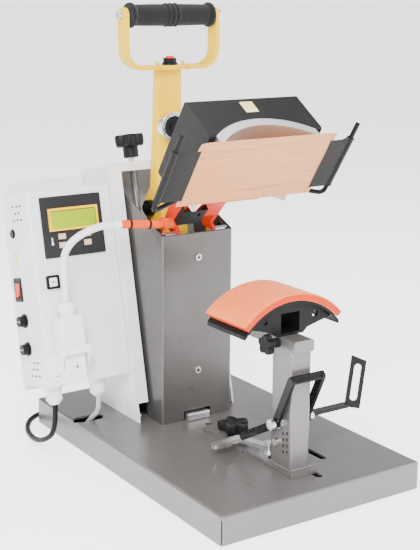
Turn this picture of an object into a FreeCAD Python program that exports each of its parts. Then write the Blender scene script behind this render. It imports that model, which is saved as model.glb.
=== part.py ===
import FreeCAD, Part
import math
import os

# Cap heat press: an open clamshell press with a curved heated head, a curved pad on a
# sliding post, a pull-down handle and a control box with timer on the left side.
# Frame: X to the right, Y to the rear, Z up, origin at the middle of the base, on the floor.
# Everything is modelled with the press open. Millimetres.

os.makedirs("parts", exist_ok=True)
V = FreeCAD.Vector

# ---------------------------------------------------------------- driving dimensions
BASE_W = 300.0          # base width
BASE_L = 470.0          # base length
BASE_H = 36.5           # height of the base top above the floor
WALL_Z = 0.4            # the base walls end just above the floor plate's underside
PAN_T = 3.0             # sheet thickness of the base

COVER_Y = 43.4          # front face of the tower cover
COVER_X = 56.0          # half width of the tower cover
COVER_T = 2.0
COVER_TOP = 297.0       # height of the cover's front edge

FRAME_X = 79.0          # half width of the rear channel
FRAME_T = 3.0
FRAME_OUTLINE = [(68.0, 38.0), (146.0, 384.0), (232.0, 364.0), (185.0, 38.0)]
LEAN = math.degrees(math.atan2(78.0, 346.0))      # the channel and the box lean back

LEVER_PIVOT = (60.0, 263.0)       # (y, z) of the lever shaft
ARM_PIVOT = (54.0, 296.0)         # (y, z) of the head arm pins
HEAD_OPEN = 56.3                  # the open head is turned back by this angle
HEAD_CORNER = (-53.7, 483.9)      # (y, z) of the open head's front top edge
HEAD_W = 168.0
HEAD_D = 113.0
HEAD_H = 66.0
PLATEN_R = 106.0                  # inner radius of the heated platen
PLATEN_T = 12.0
PLATEN_APEX = -51.0               # its highest inner line, below the housing top
SHEET_W = 204.0
SHEET_D = 100.0
SHEET_Z = -76.3                   # sheet underside, below the housing top

PAD_R = 103.0                     # outer radius of the press pad
PAD_T = 10.0
PAD_HALF = 74.0
PAD_CENTRE_Z = 156.0
PAD_FRONT = -168.0
PAD_REAR = -84.0

POST_FRONT = -184.7
POST_REAR = -143.7
POST_X = 15.0
POST_TOP = 191.0

BOX_LEFT = -203.0
BOX_RIGHT = -79.5
BOX_ORIGIN = (86.5, 104.0)        # (y, z) of the box's lower front edge
BOX_H = 258.0
BOX_D = 76.0

LEAD_D = 9.5                      # heater lead
MAINS_D = 7.2                     # mains lead


# ---------------------------------------------------------------- helpers
def box(x0, x1, y0, y1, z0, z1):
    return Part.makeBox(x1 - x0, y1 - y0, z1 - z0, V(x0, y0, z0))


def rounded(x0, x1, y0, y1, z0, z1, r, axis):
    """Box whose four edges along one axis are rounded."""
    shape = box(x0, x1, y0, y1, z0, z1)
    edges = [e for e in shape.Edges if abs(abs(e.tangentAt(e.FirstParameter).dot(axis)) - 1) < 1e-6]
    return shape.makeFillet(r, edges)


def cyl(r, start, direction, length):
    return Part.makeCylinder(r, length, V(*start), V(*direction))


def ring(r_out, r_in, start, direction, length):
    return cyl(r_out, start, direction, length).cut(cyl(r_in, start, direction, length))


def prism_x(points, x0, x1):
    """Outline of (y, z) points, extruded from x0 to x1."""
    wire = Part.makePolygon([V(x0, y, z) for y, z in points + points[:1]])
    return Part.Face(wire).extrude(V(x1 - x0, 0, 0))


def prism_y(points, y0, y1):
    """Outline of (x, z) points, extruded from y0 to y1."""
    wire = Part.makePolygon([V(x, y0, z) for x, z in points + points[:1]])
    return Part.Face(wire).extrude(V(0, y1 - y0, 0))


def prism_z(points, z0, z1):
    """Outline of (x, y) points, extruded from z0 to z1."""
    wire = Part.makePolygon([V(x, y, z0) for x, y in points + points[:1]])
    return Part.Face(wire).extrude(V(0, 0, z1 - z0))


def fillet_where(shape, r, test):
    """Round each straight edge whose midpoint and direction pass the test."""
    edges = []
    for e in shape.Edges:
        if e.Curve.TypeId == "Part::GeomLine":
            mid = e.valueAt((e.FirstParameter + e.LastParameter) / 2)
            if test(mid, e.tangentAt(e.FirstParameter)):
                edges.append(e)
    return shape.makeFillet(r, edges)


def fuse(*shapes):
    result = shapes[0].multiFuse(list(shapes[1:]))
    return result.removeSplitter()


def compound(shapes):
    return Part.makeCompound(shapes)


def along(p, q, d):
    """Point at distance d from p towards q."""
    return p + (q - p).normalize() * d


def route_tube(points, diameter, name):
    """Round tube of straight runs joined by tangent arcs."""
    pts = [V(*p) for p in points]
    edges = []
    start = pts[0]
    radii = []
    for a, b, c in zip(pts, pts[1:], pts[2:]):
        turn = (b - a).getAngle(c - b)
        shorter = min((b - a).Length, (c - b).Length)
        cut = 0.45 * shorter
        radius = cut / math.tan(turn / 2)
        radii.append(radius)
        t0 = along(b, a, cut)
        t1 = along(b, c, cut)
        bisector = ((t0 + t1) * 0.5 - b).normalize()
        centre_gap = math.hypot(radius, cut)
        mid = b + bisector * (centre_gap - radius)
        edges.append(Part.LineSegment(start, t0).toShape())
        edges.append(Part.Arc(t0, mid, t1).toShape())
        start = t1
    edges.append(Part.LineSegment(start, pts[-1]).toShape())
    length = sum(e.Length for e in edges)
    path = Part.Wire(edges)
    circle = Part.Circle(pts[0], pts[1] - pts[0], diameter / 2)
    profile = Part.Wire([circle.toShape()])
    tube = path.makePipeShell([profile], True, False)
    ratio = tube.Volume / (math.pi * diameter ** 2 / 4 * length)
    print(name, "length", round(length, 1), "volume ratio", round(ratio, 4),
          "radii", [round(r, 1) for r in radii])
    return tube


def inset(points, d):
    """Convex outline moved inwards by d (points in order, interior on the right)."""
    lines = []
    count = len(points)
    for i in range(count):
        (y0, z0), (y1, z1) = points[i], points[(i + 1) % count]
        size = math.hypot(y1 - y0, z1 - z0)
        ny, nz = (z1 - z0) / size, -(y1 - y0) / size
        lines.append((y0 + ny * d, z0 + nz * d, (y1 - y0) / size, (z1 - z0) / size))
    out = []
    for i in range(count):
        ay, az, dy, dz = lines[i - 1]
        by, bz, ey, ez = lines[i]
        t = ((by - ay) * ez - (bz - az) * ey) / (dy * ez - dz * ey)
        out.append((ay + dy * t, az + dz * t))
    return out


def on_head(shape):
    """Head shapes are drawn level: y runs back from the front wall, z up from the top."""
    s = shape.copy()
    s.rotate(V(0, 0, 0), V(1, 0, 0), -HEAD_OPEN)
    s.translate(V(0, *HEAD_CORNER))
    return s


def on_box(shape):
    """Control box shapes are drawn upright: y runs back, z up from the lower front edge."""
    s = shape.copy()
    s.rotate(V(0, 0, 0), V(1, 0, 0), -LEAN)
    s.translate(V(0, *BOX_ORIGIN))
    return s


def box_point(x, back, up):
    """Control box coordinates to the press frame."""
    a = math.radians(LEAN)
    y = BOX_ORIGIN[0] + back * math.cos(a) + up * math.sin(a)
    z = BOX_ORIGIN[1] - back * math.sin(a) + up * math.cos(a)
    return (x, y, z)


def star(lobes, r_root, r_lobe, r_at, z0, z1):
    """Hand knob body with round lobes, axis Z."""
    body = cyl(r_root, (0, 0, z0), (0, 0, 1), z1 - z0)
    tips = []
    for i in range(lobes):
        a = 2 * math.pi * i / lobes
        tips.append(cyl(r_lobe, (r_at * math.cos(a), r_at * math.sin(a), z0), (0, 0, 1), z1 - z0))
    return fuse(body, *tips)


def export(name, shape):
    if not shape.isValid():
        print("invalid", name)
    print(name, len(shape.Solids), "solids", round(shape.Volume / 1000.0, 2), "cm3")
    shape.exportStep("parts/" + name + ".step")


X_AXIS = V(1, 0, 0)
Y_AXIS = V(0, 1, 0)
Z_AXIS = V(0, 0, 1)

# ---------------------------------------------------------------- base pan
half_w, half_l = BASE_W / 2, BASE_L / 2
pan = rounded(-half_w, half_w, -half_l, half_l, WALL_Z, BASE_H, 2.0, Z_AXIS)
pan = pan.makeFillet(3.0, [e for e in pan.Edges if abs(e.BoundBox.ZMin - BASE_H) < 1e-4])
pan = pan.cut(box(-half_w + PAN_T, half_w - PAN_T, -half_l + PAN_T, half_l - PAN_T,
                  WALL_Z - 1, BASE_H - PAN_T))
for sx in (-1, 1):
    for sy in (-1, 1):
        seam = box(-0.6, 0.6, -6, 6, 0, BASE_H - 5)
        seam.rotate(V(0, 0, 0), Z_AXIS, -45 * sx * sy)
        seam.translate(V(sx * half_w, sy * half_l, 0))
        pan = pan.cut(seam)
SLOTS = [(55.0, -166.0, -60.0, 10.0), (15.0, -208.0, -120.0, 10.0), (0.0, -100.0, 20.0, 9.0)]
for x, y0, y1, width in SLOTS:
    pan = pan.cut(rounded(x - width / 2, x + width / 2, y0, y1, BASE_H - 5, BASE_H + 5,
                          width / 2 - 0.01, Z_AXIS))
WIRE_HOLE = (-128.0, 122.0)
pan = pan.cut(rounded(WIRE_HOLE[0] - 22, WIRE_HOLE[0] + 22, WIRE_HOLE[1] - 11, WIRE_HOLE[1] + 11,
                      BASE_H - 5, BASE_H + 5, 10.9, Z_AXIS))
export("base_pan", pan)
floor = box(-half_w + PAN_T, half_w - PAN_T, -half_l + PAN_T, half_l - PAN_T, 0, 2.5)
export("base_floor", floor)

# ---------------------------------------------------------------- tower cover
COVER_SLOPE = (343.0 - COVER_TOP) / (150.0 - COVER_Y)
side = [(COVER_Y, BASE_H), (COVER_Y, COVER_TOP), (150.0, 343.0), (82.0, BASE_H)]
cover = prism_x(side, -COVER_X, COVER_X)
cover = fillet_where(cover, 3.0, lambda m, t: abs(m.y - COVER_Y) < 1e-3 and abs(t.z) > 0.9)
inner_side = [(COVER_Y + COVER_T, BASE_H - 1), (COVER_Y + COVER_T, 400.0), (170.0, 400.0),
              (170.0, BASE_H - 1)]
cover = cover.cut(prism_x(inner_side, -COVER_X + COVER_T, COVER_X - COVER_T))
cover = cover.cut(box(-22, 22, COVER_Y - 2, COVER_Y + 4, BASE_H - 1, BASE_H + 13))
for z in (264.0, 106.0):
    cover = cover.cut(cyl(2.5, (0, COVER_Y - 1, z), (0, 1, 0), 6))
export("tower_cover", cover)

screws = []
for z, shank in ((264.0, 3.0), (106.0, 8.0)):
    head = cyl(4.6, (0, COVER_Y - 2.6, z), (0, 1, 0), 2.6)
    screws.append(fuse(head, cyl(2.5, (0, COVER_Y, z), (0, 1, 0), shank)))
for y, z in ((152.0, 366.0), (216.0, 352.0)):
    for sx in (-1, 1):
        head = cyl(4.0, (sx * FRAME_X, y, z), (sx, 0, 0), 2.2)
        screws.append(head)
export("case_screws", compound(screws))

# ---------------------------------------------------------------- leaning rear channel
frame = prism_x([(FRAME_OUTLINE[0][0], BASE_H)] + FRAME_OUTLINE[1:3] + [(FRAME_OUTLINE[3][0], BASE_H)],
                -FRAME_X, FRAME_X)
hollow = inset(FRAME_OUTLINE, FRAME_T)
hollow[0] = (hollow[0][0] - 4, BASE_H - 8)
hollow[3] = (hollow[3][0] + 0.0, BASE_H - 8)
frame = frame.cut(prism_x(hollow, -FRAME_X + FRAME_T, FRAME_X - FRAME_T))
front_opening = [(50.0, 30.0), (50.0, 372.0), (149.0, 372.0), (149.0, 30.0)]
FLANGE_X = 60.5
opening = prism_x(front_opening, -FLANGE_X, FLANGE_X)
keep_rear = prism_x([(y + 12, z) for y, z in FRAME_OUTLINE], -FLANGE_X, FLANGE_X)
frame = frame.cut(opening.cut(keep_rear))
# the flanges stop above the base, the side plates go on down to it
low = prism_x([(50.0, 30.0), (50.0, 62.0), (80.0, 62.0), (80.0, 30.0)], -FRAME_X + FRAME_T,
              FRAME_X - FRAME_T)
frame = frame.cut(low)
LEAN_DIR = (0.0, math.sin(math.radians(LEAN)), math.cos(math.radians(LEAN)))
KNOB = V(0, 225.0, 401.0)               # middle of the pressure knob
AXIS = V(*LEAN_DIR)
frame = frame.cut(Part.makeCylinder(6.5, 60, KNOB - AXIS * 60, AXIS))
for y, z in ((86.0, 48.0), (100.0, 48.0)):
    frame = frame.cut(cyl(2.6, (-FRAME_X - 1, y, z), (1, 0, 0), FRAME_T + 2))
for sx in (-1, 1):
    foot = box(min(sx * 62, sx * (FRAME_X - FRAME_T)), max(sx * 62, sx * (FRAME_X - FRAME_T)),
               90, 175, BASE_H, BASE_H + FRAME_T)
    frame = frame.fuse(foot)
export("rear_frame", frame.removeSplitter())

# ---------------------------------------------------------------- pivot bracket in the tower
PLATE_IN, PLATE_OUT = 48.0, 52.0
outline = [(48.0, BASE_H), (48.0, 298.0), (64.0, 304.5), (120.0, 240.0), (120.0, BASE_H)]
plates = []
for sx in (-1, 1):
    lo, hi = sorted((sx * PLATE_IN, sx * PLATE_OUT))
    plates.append(prism_x(outline, lo, hi))
web = box(-PLATE_IN, PLATE_IN, 116, 120, BASE_H, 150)
floor_plate = box(-PLATE_IN, PLATE_IN, 60, 116, BASE_H, BASE_H + 4)
bracket = fuse(plates[0], plates[1], web, floor_plate)
bracket = bracket.cut(cyl(6.0, (-60, *LEVER_PIVOT), (1, 0, 0), 120))
bracket = bracket.cut(cyl(5.0, (-60, *ARM_PIVOT), (1, 0, 0), 120))
export("pivot_bracket", bracket)

shaft = cyl(6.0, (-PLATE_OUT, *LEVER_PIVOT), (1, 0, 0), 2 * PLATE_OUT)
export("lever_shaft", shaft)
pins = []
for sx in (-1, 1):
    pins.append(cyl(5.0, (sx * 22.5, *ARM_PIVOT), (sx, 0, 0), PLATE_OUT - 22.5))
export("arm_pins", compound(pins))

springs = []
for sx in (-1, 1):
    springs.append(ring(10.0, 6.1, (sx * 32.0, *LEVER_PIVOT), (sx, 0, 0), 15.0))
export("return_springs", compound(springs))

# ---------------------------------------------------------------- pull-down lever
LP = V(0, *LEVER_PIVOT)
upper = [(112.0, 350.0), (114.5, 414.0), (114.5, 510.0), (127.0, 510.0), (137.0, 345.0),
         (148.0, 329.0), (137.0, 272.0), (118.0, 252.0), (60.0, 250.0), (60.0, 276.0),
         (96.8, 276.0)]
lever = prism_x(upper, -20, 20)
lever = fillet_where(lever, 4.0, lambda m, t: abs(abs(m.x) - 20) < 1e-3 and m.z > 340)
lever = lever.cut(prism_x(inset(upper, 2.5), -17.5, 17.5))
hub = cyl(13.0, (-20, *LEVER_PIVOT), (1, 0, 0), 40)
lever = fuse(lever, hub)
lever = lever.cut(cyl(6.05, (-21, *LEVER_PIVOT), (1, 0, 0), 42))
export("lever_body", lever)

FORK_Y = 115.0
FORK_TOP = 516.0
GRIP_Z = 582.0
outer = rounded(-74, 74, FORK_Y - 10, FORK_Y + 10, FORK_TOP - 6, GRIP_Z + 80, 28.0, Y_AXIS)
inner = rounded(-68, 68, FORK_Y - 11, FORK_Y + 11, FORK_TOP, GRIP_Z + 90, 22.0, Y_AXIS)
fork = outer.cut(inner)
ends = box(-80, 80, FORK_Y - 12, FORK_Y + 12, GRIP_Z, GRIP_Z + 100)
fork = fork.cut(ends)
for sx in (-1, 1):
    fork = fork.fuse(cyl(10.0, (sx * 68, FORK_Y, GRIP_Z), (sx, 0, 0), 6.0))
fork = fork.cut(cyl(4.0, (-90, FORK_Y, GRIP_Z), (1, 0, 0), 180))
export("handle_fork", fork.removeSplitter())


def grip_profile():
    """Half outline of the foam grip as (x, radius): flanged ends, a swell, middle ribs."""
    half = 65.0
    points = [(-half, 4.0), (-half, 15.5), (-half + 1.0, 16.5), (-half + 5.0, 16.5),
              (-half + 6.5, 14.0), (-half + 12.0, 13.4), (-40.0, 13.8), (-12.0, 14.6)]
    rib_x = -9.0
    while rib_x < 9.0:
        points += [(rib_x, 14.6), (rib_x + 0.8, 15.8), (rib_x + 3.2, 15.8), (rib_x + 4.0, 14.6)]
        rib_x += 7.0
    points += [(12.0, 14.6), (40.0, 13.8), (half - 12.0, 13.4), (half - 6.5, 14.0),
               (half - 5.0, 16.5), (half - 1.0, 16.5), (half, 15.5), (half, 4.0)]
    return points


outline = grip_profile()
wire = Part.makePolygon([V(x, FORK_Y, GRIP_Z + r) for x, r in outline + outline[:1]])
grip = Part.Face(wire).revolve(V(0, FORK_Y, GRIP_Z), X_AXIS, 360)
export("foam_grip", grip)

bolt = cyl(4.0, (-74, FORK_Y, GRIP_Z), (1, 0, 0), 148)
for sx in (-1, 1):
    bolt = bolt.fuse(cyl(6.5, (sx * 74, FORK_Y, GRIP_Z), (sx, 0, 0), 6.0))
    bolt = bolt.cut(Part.makeCylinder(3.0, 4.0, V(sx * 80.5, FORK_Y, GRIP_Z), V(-sx, 0, 0)))
export("grip_bolt", bolt)

BEZEL_Z = FORK_TOP
bezel = ring(9.0, 6.3, (0, FORK_Y, BEZEL_Z), (0, 0, 1), 9.0)
bezel = fuse(bezel, ring(10.5, 6.3, (0, FORK_Y, BEZEL_Z), (0, 0, 1), 3.0))
export("timer_bezel", bezel)
button = cyl(6.0, (0, FORK_Y, BEZEL_Z + 2.5), (0, 0, 1), 9.5)
button = button.makeFillet(2.0, [e for e in button.Edges if abs(e.BoundBox.ZMin - BEZEL_Z - 12) < 1e-4])
export("timer_button", button)

HUB_Z = 433.0
HUB_Y = 102.8
cup = cyl(20.0, (0, HUB_Y, HUB_Z), (0, 1, 0), 114.5 - HUB_Y)
cup = cup.makeFillet(1.0, [e for e in cup.Edges if abs(e.BoundBox.YMax - HUB_Y) < 1e-4])
cup = cup.cut(cyl(15.0, (0, HUB_Y - 1, HUB_Z), (0, 1, 0), 8.0))
export("pressure_hub", cup)
insert = ring(14.9, 5.0, (0, HUB_Y + 2.0, HUB_Z), (0, 1, 0), 5.0)
screw = cyl(5.0, (0, HUB_Y + 0.8, HUB_Z), (0, 1, 0), 6.2)
export("hub_insert", fuse(insert, screw))

rollers = []
for sx in (-1, 1):
    roller = cyl(11.0, (sx * 20.0, 130.0, 320.0), (sx, 0, 0), 8.0)
    rollers.append(fuse(roller, cyl(6.0, (sx * 28.0, 130.0, 320.0), (sx, 0, 0), 4.0)))
export("knee_rollers", compound(rollers))

# ---------------------------------------------------------------- head arm (fork of two plates)
ARM_IN, ARM_OUT = 25.5, 30.5
AP = V(0, *ARM_PIVOT)
arm_outline = [(60.3, 300.0), (21.9, 338.8), (-20.0, 370.5), (4.8, 387.1), (40.0, 354.0),
               (70.4, 329.6), (79.0, 315.0), (70.0, 300.0)]
neck = [(48.4, 301.7), (54.1, 307.4), (68.0, 304.0), (62.0, 296.0)]
sides = []
for sx in (-1, 1):
    lo, hi = sorted((sx * ARM_IN, sx * ARM_OUT))
    plate = fuse(prism_x(arm_outline, lo, hi), prism_x(neck, lo, hi),
                 cyl(8.0, (lo, *ARM_PIVOT), (1, 0, 0), hi - lo))
    sides.append(plate.cut(cyl(5.05, (lo - 1, *ARM_PIVOT), (1, 0, 0), hi - lo + 2)))
web = prism_x([(41.2, 319.4), (21.9, 338.8), (-20.0, 370.5), (-17.6, 373.7), (24.5, 341.9),
               (44.0, 322.3)], -ARM_IN, ARM_IN)
back_plate = on_head(box(-38, 38, HEAD_D, HEAD_D + 4.0, -62.0, -3.0))
arm = fuse(sides[0], sides[1], web, back_plate)
arm = arm.cut(on_head(box(-HEAD_W / 2, HEAD_W / 2, 60.0, HEAD_D, -HEAD_H - 12.0, 2.0)))
export("arm_fork", arm)

# ---------------------------------------------------------------- heated head
HW = HEAD_W / 2
shell = rounded(-HW, HW, 0, HEAD_D, -HEAD_H, 0, 3.0, X_AXIS)
shell = shell.cut(box(-HW + 1.5, HW - 1.5, 1.5, HEAD_D - 1.5, -HEAD_H - 5, -1.5))
PLATEN_CZ = PLATEN_APEX - PLATEN_R
shell = shell.cut(cyl(PLATEN_R + PLATEN_T + 0.4, (0, -5, PLATEN_CZ), (0, 1, 0), HEAD_D + 10))
floor_lips = box(-HW + 1.5, HW - 1.5, 1.5, HEAD_D - 1.5, -HEAD_H, -HEAD_H + 1.5)
floor_lips = floor_lips.cut(box(-76, 76, 0, HEAD_D, -HEAD_H - 1, -HEAD_H + 3))
shell = shell.fuse(floor_lips).removeSplitter()
export("head_housing", on_head(shell))

platen = ring(PLATEN_R + PLATEN_T, PLATEN_R, (0, 1.0, PLATEN_CZ), (0, 1, 0), HEAD_D - 2.0)
platen = platen.common(box(-74, 74, 0, HEAD_D, -76.0, 0))
export("heated_platen", on_head(platen))
element = ring(PLATEN_R + PLATEN_T + 3.2, PLATEN_R + PLATEN_T + 0.0, (0, 12.0, PLATEN_CZ), (0, 1, 0),
               HEAD_D - 24.0)
element = element.common(box(-66, 66, 0, HEAD_D, -64.0, 0))
export("heating_element", on_head(element))

ROD_X = 131.0
ROD_Z = -74.0
rods = []
for sx in (-1, 1):
    p0 = V(sx * ROD_X, -10, ROD_Z)
    corner = V(sx * ROD_X, HEAD_D - 6, ROD_Z)
    end = V(sx * (HW - 1.0), HEAD_D - 6, ROD_Z + 18)
    inwards = (end - corner).normalize()
    bend = 8.0
    t0 = corner - V(0, bend, 0)
    t1 = corner + inwards * bend
    middle = corner + (V(0, -1, 0) + inwards).normalize() * bend * (math.sqrt(2) - 1)
    path = Part.Wire([Part.LineSegment(p0, t0).toShape(), Part.Arc(t0, middle, t1).toShape(),
                      Part.LineSegment(t1, end).toShape()])
    rod = path.makePipeShell([Part.Wire([Part.Circle(p0, Y_AXIS, 3.0).toShape()])], True, False)
    rods.append(rod.cut(shell))
export("sheet_rods", on_head(compound(rods)))

bands = []
for sx in (-1, 1):
    sleeve = ring(4.6, 3.0, (sx * ROD_X, 14, ROD_Z), (0, 1, 0), 76)
    lo, hi = sorted((sx * (SHEET_W / 2 + 0.4), sx * (ROD_X - 3.6)))
    strap = box(lo, hi, 14, 90, SHEET_Z - 0.6, SHEET_Z + 1.2)
    bands.append(fuse(sleeve, strap))
export("elastic_bands", on_head(compound(bands)))

sheet = box(-SHEET_W / 2, SHEET_W / 2, 0.5, 0.5 + SHEET_D, SHEET_Z - 0.4, SHEET_Z + 0.1)
export("release_sheet", on_head(sheet))

# ---------------------------------------------------------------- lead bracket on the arm
slope = math.degrees(math.atan2(338.8 - 300.0, 60.3 - 21.9))
plate = box(-40, -4, -9, 0, 0, 30)
plate = plate.cut(box(-38.5, -5.5, -7.5, 5, -1, 31))
plate = plate.cut(cyl(2.5, (-14, -12, 20), (0, 1, 0), 8))
plate.rotate(V(0, 0, 0), X_AXIS, 45)
plate.translate(V(0, 40.6, 319.0))
export("lead_bracket", plate)
SLEEVE_POINT = (61.0, 310.5)
sleeve = ring(7.5, LEAD_D / 2, (-45.0, *SLEEVE_POINT), (1, 0, 0), 14.3)
collar = ring(9.5, 7.5, (-45.0, *SLEEVE_POINT), (1, 0, 0), 3.0)
export("lead_sleeve", fuse(sleeve, collar))

# ---------------------------------------------------------------- pressure screw
spin = Part.makeCylinder(5.0, 150.0, KNOB - AXIS * 155.0, AXIS)
export("pressure_spindle", spin)
knob = star(6, 18.0, 6.0, 17.0, -8.0, 7.0)
knob = fuse(knob, cyl(11.0, (0, 0, -24.0), (0, 0, 1), 16.0), cyl(12.0, (0, 0, 7.0), (0, 0, 1), 2.5))
knob = knob.cut(cyl(5.0, (0, 0, -25.0), (0, 0, 1), 20.0))
knob.rotate(V(0, 0, 0), X_AXIS, -LEAN)
knob.translate(KNOB)
export("pressure_knob", knob)
cross = rounded(-75.0, 75.0, -11, 11, -8, 8, 2.0, X_AXIS)
cross = cross.cut(cyl(5.08, (0, 0, -10), (0, 0, 1), 20))
cross.rotate(V(0, 0, 0), X_AXIS, -LEAN)
cross.translate(KNOB - AXIS * 118.0)
export("crosshead", cross)

# ---------------------------------------------------------------- control box
shell = rounded(BOX_LEFT, BOX_RIGHT, 0, BOX_D, 0, BOX_H, 3.0, Z_AXIS)
shell = shell.cut(box(BOX_LEFT + 2, BOX_RIGHT - 2, 2, BOX_D + 1, 2, BOX_H - 2))
GLANDS = [(-187.0, 24.0), (-121.0, 24.0)]
for x, back in GLANDS:
    shell = shell.cut(cyl(8.0, (x, back, -1), (0, 0, 1), 5))
SWITCH = (60.0, 130.0)                    # (back, up) of the mains switch
shell = shell.cut(box(BOX_LEFT - 1, BOX_LEFT + 4, SWITCH[0] - 9.5, SWITCH[0] + 9.5,
                      SWITCH[1] - 14.0, SWITCH[1] + 14.0))
FUSES = [(52.0, 88.0), (52.0, 50.0)]
BUZZER = (57.0, 206.0)
for back, up in FUSES:
    shell = shell.cut(cyl(6.0, (BOX_LEFT - 1, back, up), (1, 0, 0), 5))
for rows, base in ((3, 222.0), (3, 12.0)):
    for row in range(rows):
        for col in range(3 - row % 2):
            y0 = 24.0 + 11.0 * col + 5.5 * (row % 2)
            shell = shell.cut(box(BOX_LEFT - 1, BOX_LEFT + 4, y0, y0 + 8.0, base + 9.0 * row,
                                  base + 9.0 * row + 3.0))
export("control_box", on_box(shell))

plate = [(BOX_LEFT - 2.0, -8.0), (BOX_LEFT - 2.0, 258.0), (-185.0, 277.0), (BOX_RIGHT, 277.0),
         (BOX_RIGHT, -8.0)]
plate = prism_y(plate, BOX_D, BOX_D + 2.0)
for x in (-150.0, -100.0):
    plate = plate.cut(cyl(2.6, (x, BOX_D - 1, 269.0), (0, 1, 0), 5))
export("box_plate", on_box(plate))

PANEL = (-187.0, -97.0, 168.0, 249.0)
panel = rounded(PANEL[0], PANEL[1], -1.5, 0, PANEL[2], PANEL[3], 2.0, Y_AXIS)
KEYS = [(-160.0, 195.5), (-160.0, 184.0), (-123.0, 195.5), (-123.0, 184.0)]
for x, z in KEYS:
    panel = panel.cut(box(x - 5.3, x + 5.3, -3, 1, z - 3.8, z + 3.8))
export("display_panel", on_box(panel))
bezel = box(-177.0, -104.0, -4.0, -1.5, 203.0, 233.0)
bezel = bezel.cut(box(-174.0, -107.0, -5.0, -3.0, 206.0, 230.0))
export("display_window", on_box(bezel))
for i, (x, z) in enumerate(KEYS):
    key = box(x - 5.0, x + 5.0, -3.2, -0.8, z - 3.5, z + 3.5)
    export("key_%d" % (i + 1), on_box(key))

port = rounded(-190.0, -172.0, -4.0, 0, 128.0, 146.0, 2.0, Y_AXIS)
port = port.cut(box(-187.0, -175.0, -5.0, -2.0, 131.0, 143.0))

# mains switch: a rocker with its pivot barrel in a snap-in frame
frame_x = BOX_LEFT
sy, sz = SWITCH
rocker_frame = box(frame_x - 2.0, frame_x + 12.0, sy - 9.4, sy + 9.4, sz - 13.9, sz + 13.9)
rocker_frame = rocker_frame.cut(box(frame_x - 3.0, frame_x + 13.0, sy - 6.4, sy + 6.4,
                                    sz - 10.4, sz + 10.4))
lip = box(frame_x - 2.0, frame_x, sy - 10.5, sy + 10.5, sz - 16.0, sz + 16.0)
lip = lip.cut(box(frame_x - 3.0, frame_x + 1.0, sy - 6.4, sy + 6.4, sz - 10.4, sz + 10.4))
rocker_frame = fuse(rocker_frame, lip)
export("rocker_frame", on_box(rocker_frame))
rocker = prism_y([(frame_x - 4.6, sz - 9.2), (frame_x - 2.6, sz), (frame_x - 2.2, sz + 9.4),
                  (frame_x + 3.0, sz + 5.0), (frame_x + 3.0, sz - 5.0)], sy - 6.1, sy + 6.1)
rocker = fuse(rocker, cyl(3.5, (frame_x + 4.0, sy - 6.1, sz), (0, 1, 0), 12.2))
export("rocker_button", on_box(rocker))

fittings = []
for back, up in FUSES:
    cap = fuse(cyl(9.5, (BOX_LEFT - 2.0, back, up), (1, 0, 0), 2.0),
               cyl(7.0, (BOX_LEFT - 10.0, back, up), (1, 0, 0), 10.0),
               cyl(5.9, (BOX_LEFT, back, up), (1, 0, 0), 20.0))
    fittings.append(cap)
fittings.append(cyl(6.0, (BOX_LEFT - 2.0, *BUZZER), (1, 0, 0), 2.0))
fittings.append(port)
export("box_fittings", on_box(compound(fittings)))

gland_set = []
for x, back in GLANDS:
    gland = fuse(cyl(12.5, (x, back, -6.0), (0, 0, 1), 6.0), cyl(8.0, (x, back, -6.0), (0, 0, 1), 12.0),
                 cyl(11.0, (x, back, -20.0), (0, 0, 1), 14.0))
    gland = gland.fuse(Part.makeCone(6.0, 11.0, 6.0, V(x, back, -26.0), Z_AXIS))
    gland = gland.cut(cyl(MAINS_D / 2, (x, back, -30.0), (0, 0, 1), 60.0))
    gland_set.append(gland.removeSplitter())
export("cable_glands", on_box(compound(gland_set)))

# multi-pole connector of the heater lead: panel socket, lever latch and plug hood
CX = -173.0
socket = rounded(CX - 15, CX + 15, -26.0, 0, 4.0, 46.0, 2.0, Z_AXIS)
wings = box(CX - 22, CX + 22, -4.0, 0, 8.0, 40.0)
pins = cyl(3.0, (CX - 21.5, -16.0, 24.0), (1, 0, 0), 43.0)
export("connector_socket", on_box(fuse(socket, wings, pins)))
hood = rounded(CX - 17, CX + 17, -30.0, -3.0, 46.6, 92.0, 4.0, Z_AXIS)
hood = hood.makeFillet(3.0, [e for e in hood.Edges if abs(e.BoundBox.ZMin - 92.0) < 1e-4])
neck = cyl(10.0, (CX, -16.5, 92.0), (0, 0, 1), 5.0)
nut = cyl(11.5, (CX, -16.5, 97.0), (0, 0, 1), 12.0)
nut = nut.makeFillet(3.0, [e for e in nut.Edges if abs(e.BoundBox.ZMin - 109.0) < 1e-4])
hood = fuse(hood, neck, nut)
hood = hood.cut(cyl(LEAD_D / 2, (CX, -16.5, 80.0), (0, 0, 1), 40.0))
export("plug_hood", on_box(hood))
LATCH_PIN = (-16.0, 24.0)                 # (back, up) of the lever's side pins
latch = box(CX - 20.5, CX + 20.5, -33.5, -30.6, 42.0, 52.0)
for sx in (-1, 1):
    lo, hi = sorted((CX + sx * 17.6, CX + sx * 20.5))
    side_arm = prism_x([(-33.5, 42.0), (-33.5, 52.0), (-28.0, 52.0), (-11.0, 26.0), (-14.0, 19.5),
                        (-20.0, 20.0)], lo, hi)
    side_arm = side_arm.fuse(cyl(5.5, (lo, *LATCH_PIN), (1, 0, 0), hi - lo))
    latch = latch.fuse(side_arm)
latch = latch.cut(cyl(3.08, (CX - 30, *LATCH_PIN), (1, 0, 0), 60))
export("connector_latch", on_box(latch.removeSplitter()))

# ---------------------------------------------------------------- cords
lead_start = box_point(CX, -16.5, 109.0)
heater_route = [lead_start, (-172.5, 97.0, 241.0), (-181.0, 84.0, 291.0), (-142.0, 70.0, 317.0),
                (-94.0, 63.0, 316.0), (-45.7, *SLEEVE_POINT)]
export("heater_lead", route_tube(heater_route, LEAD_D, "heater lead"))

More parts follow.
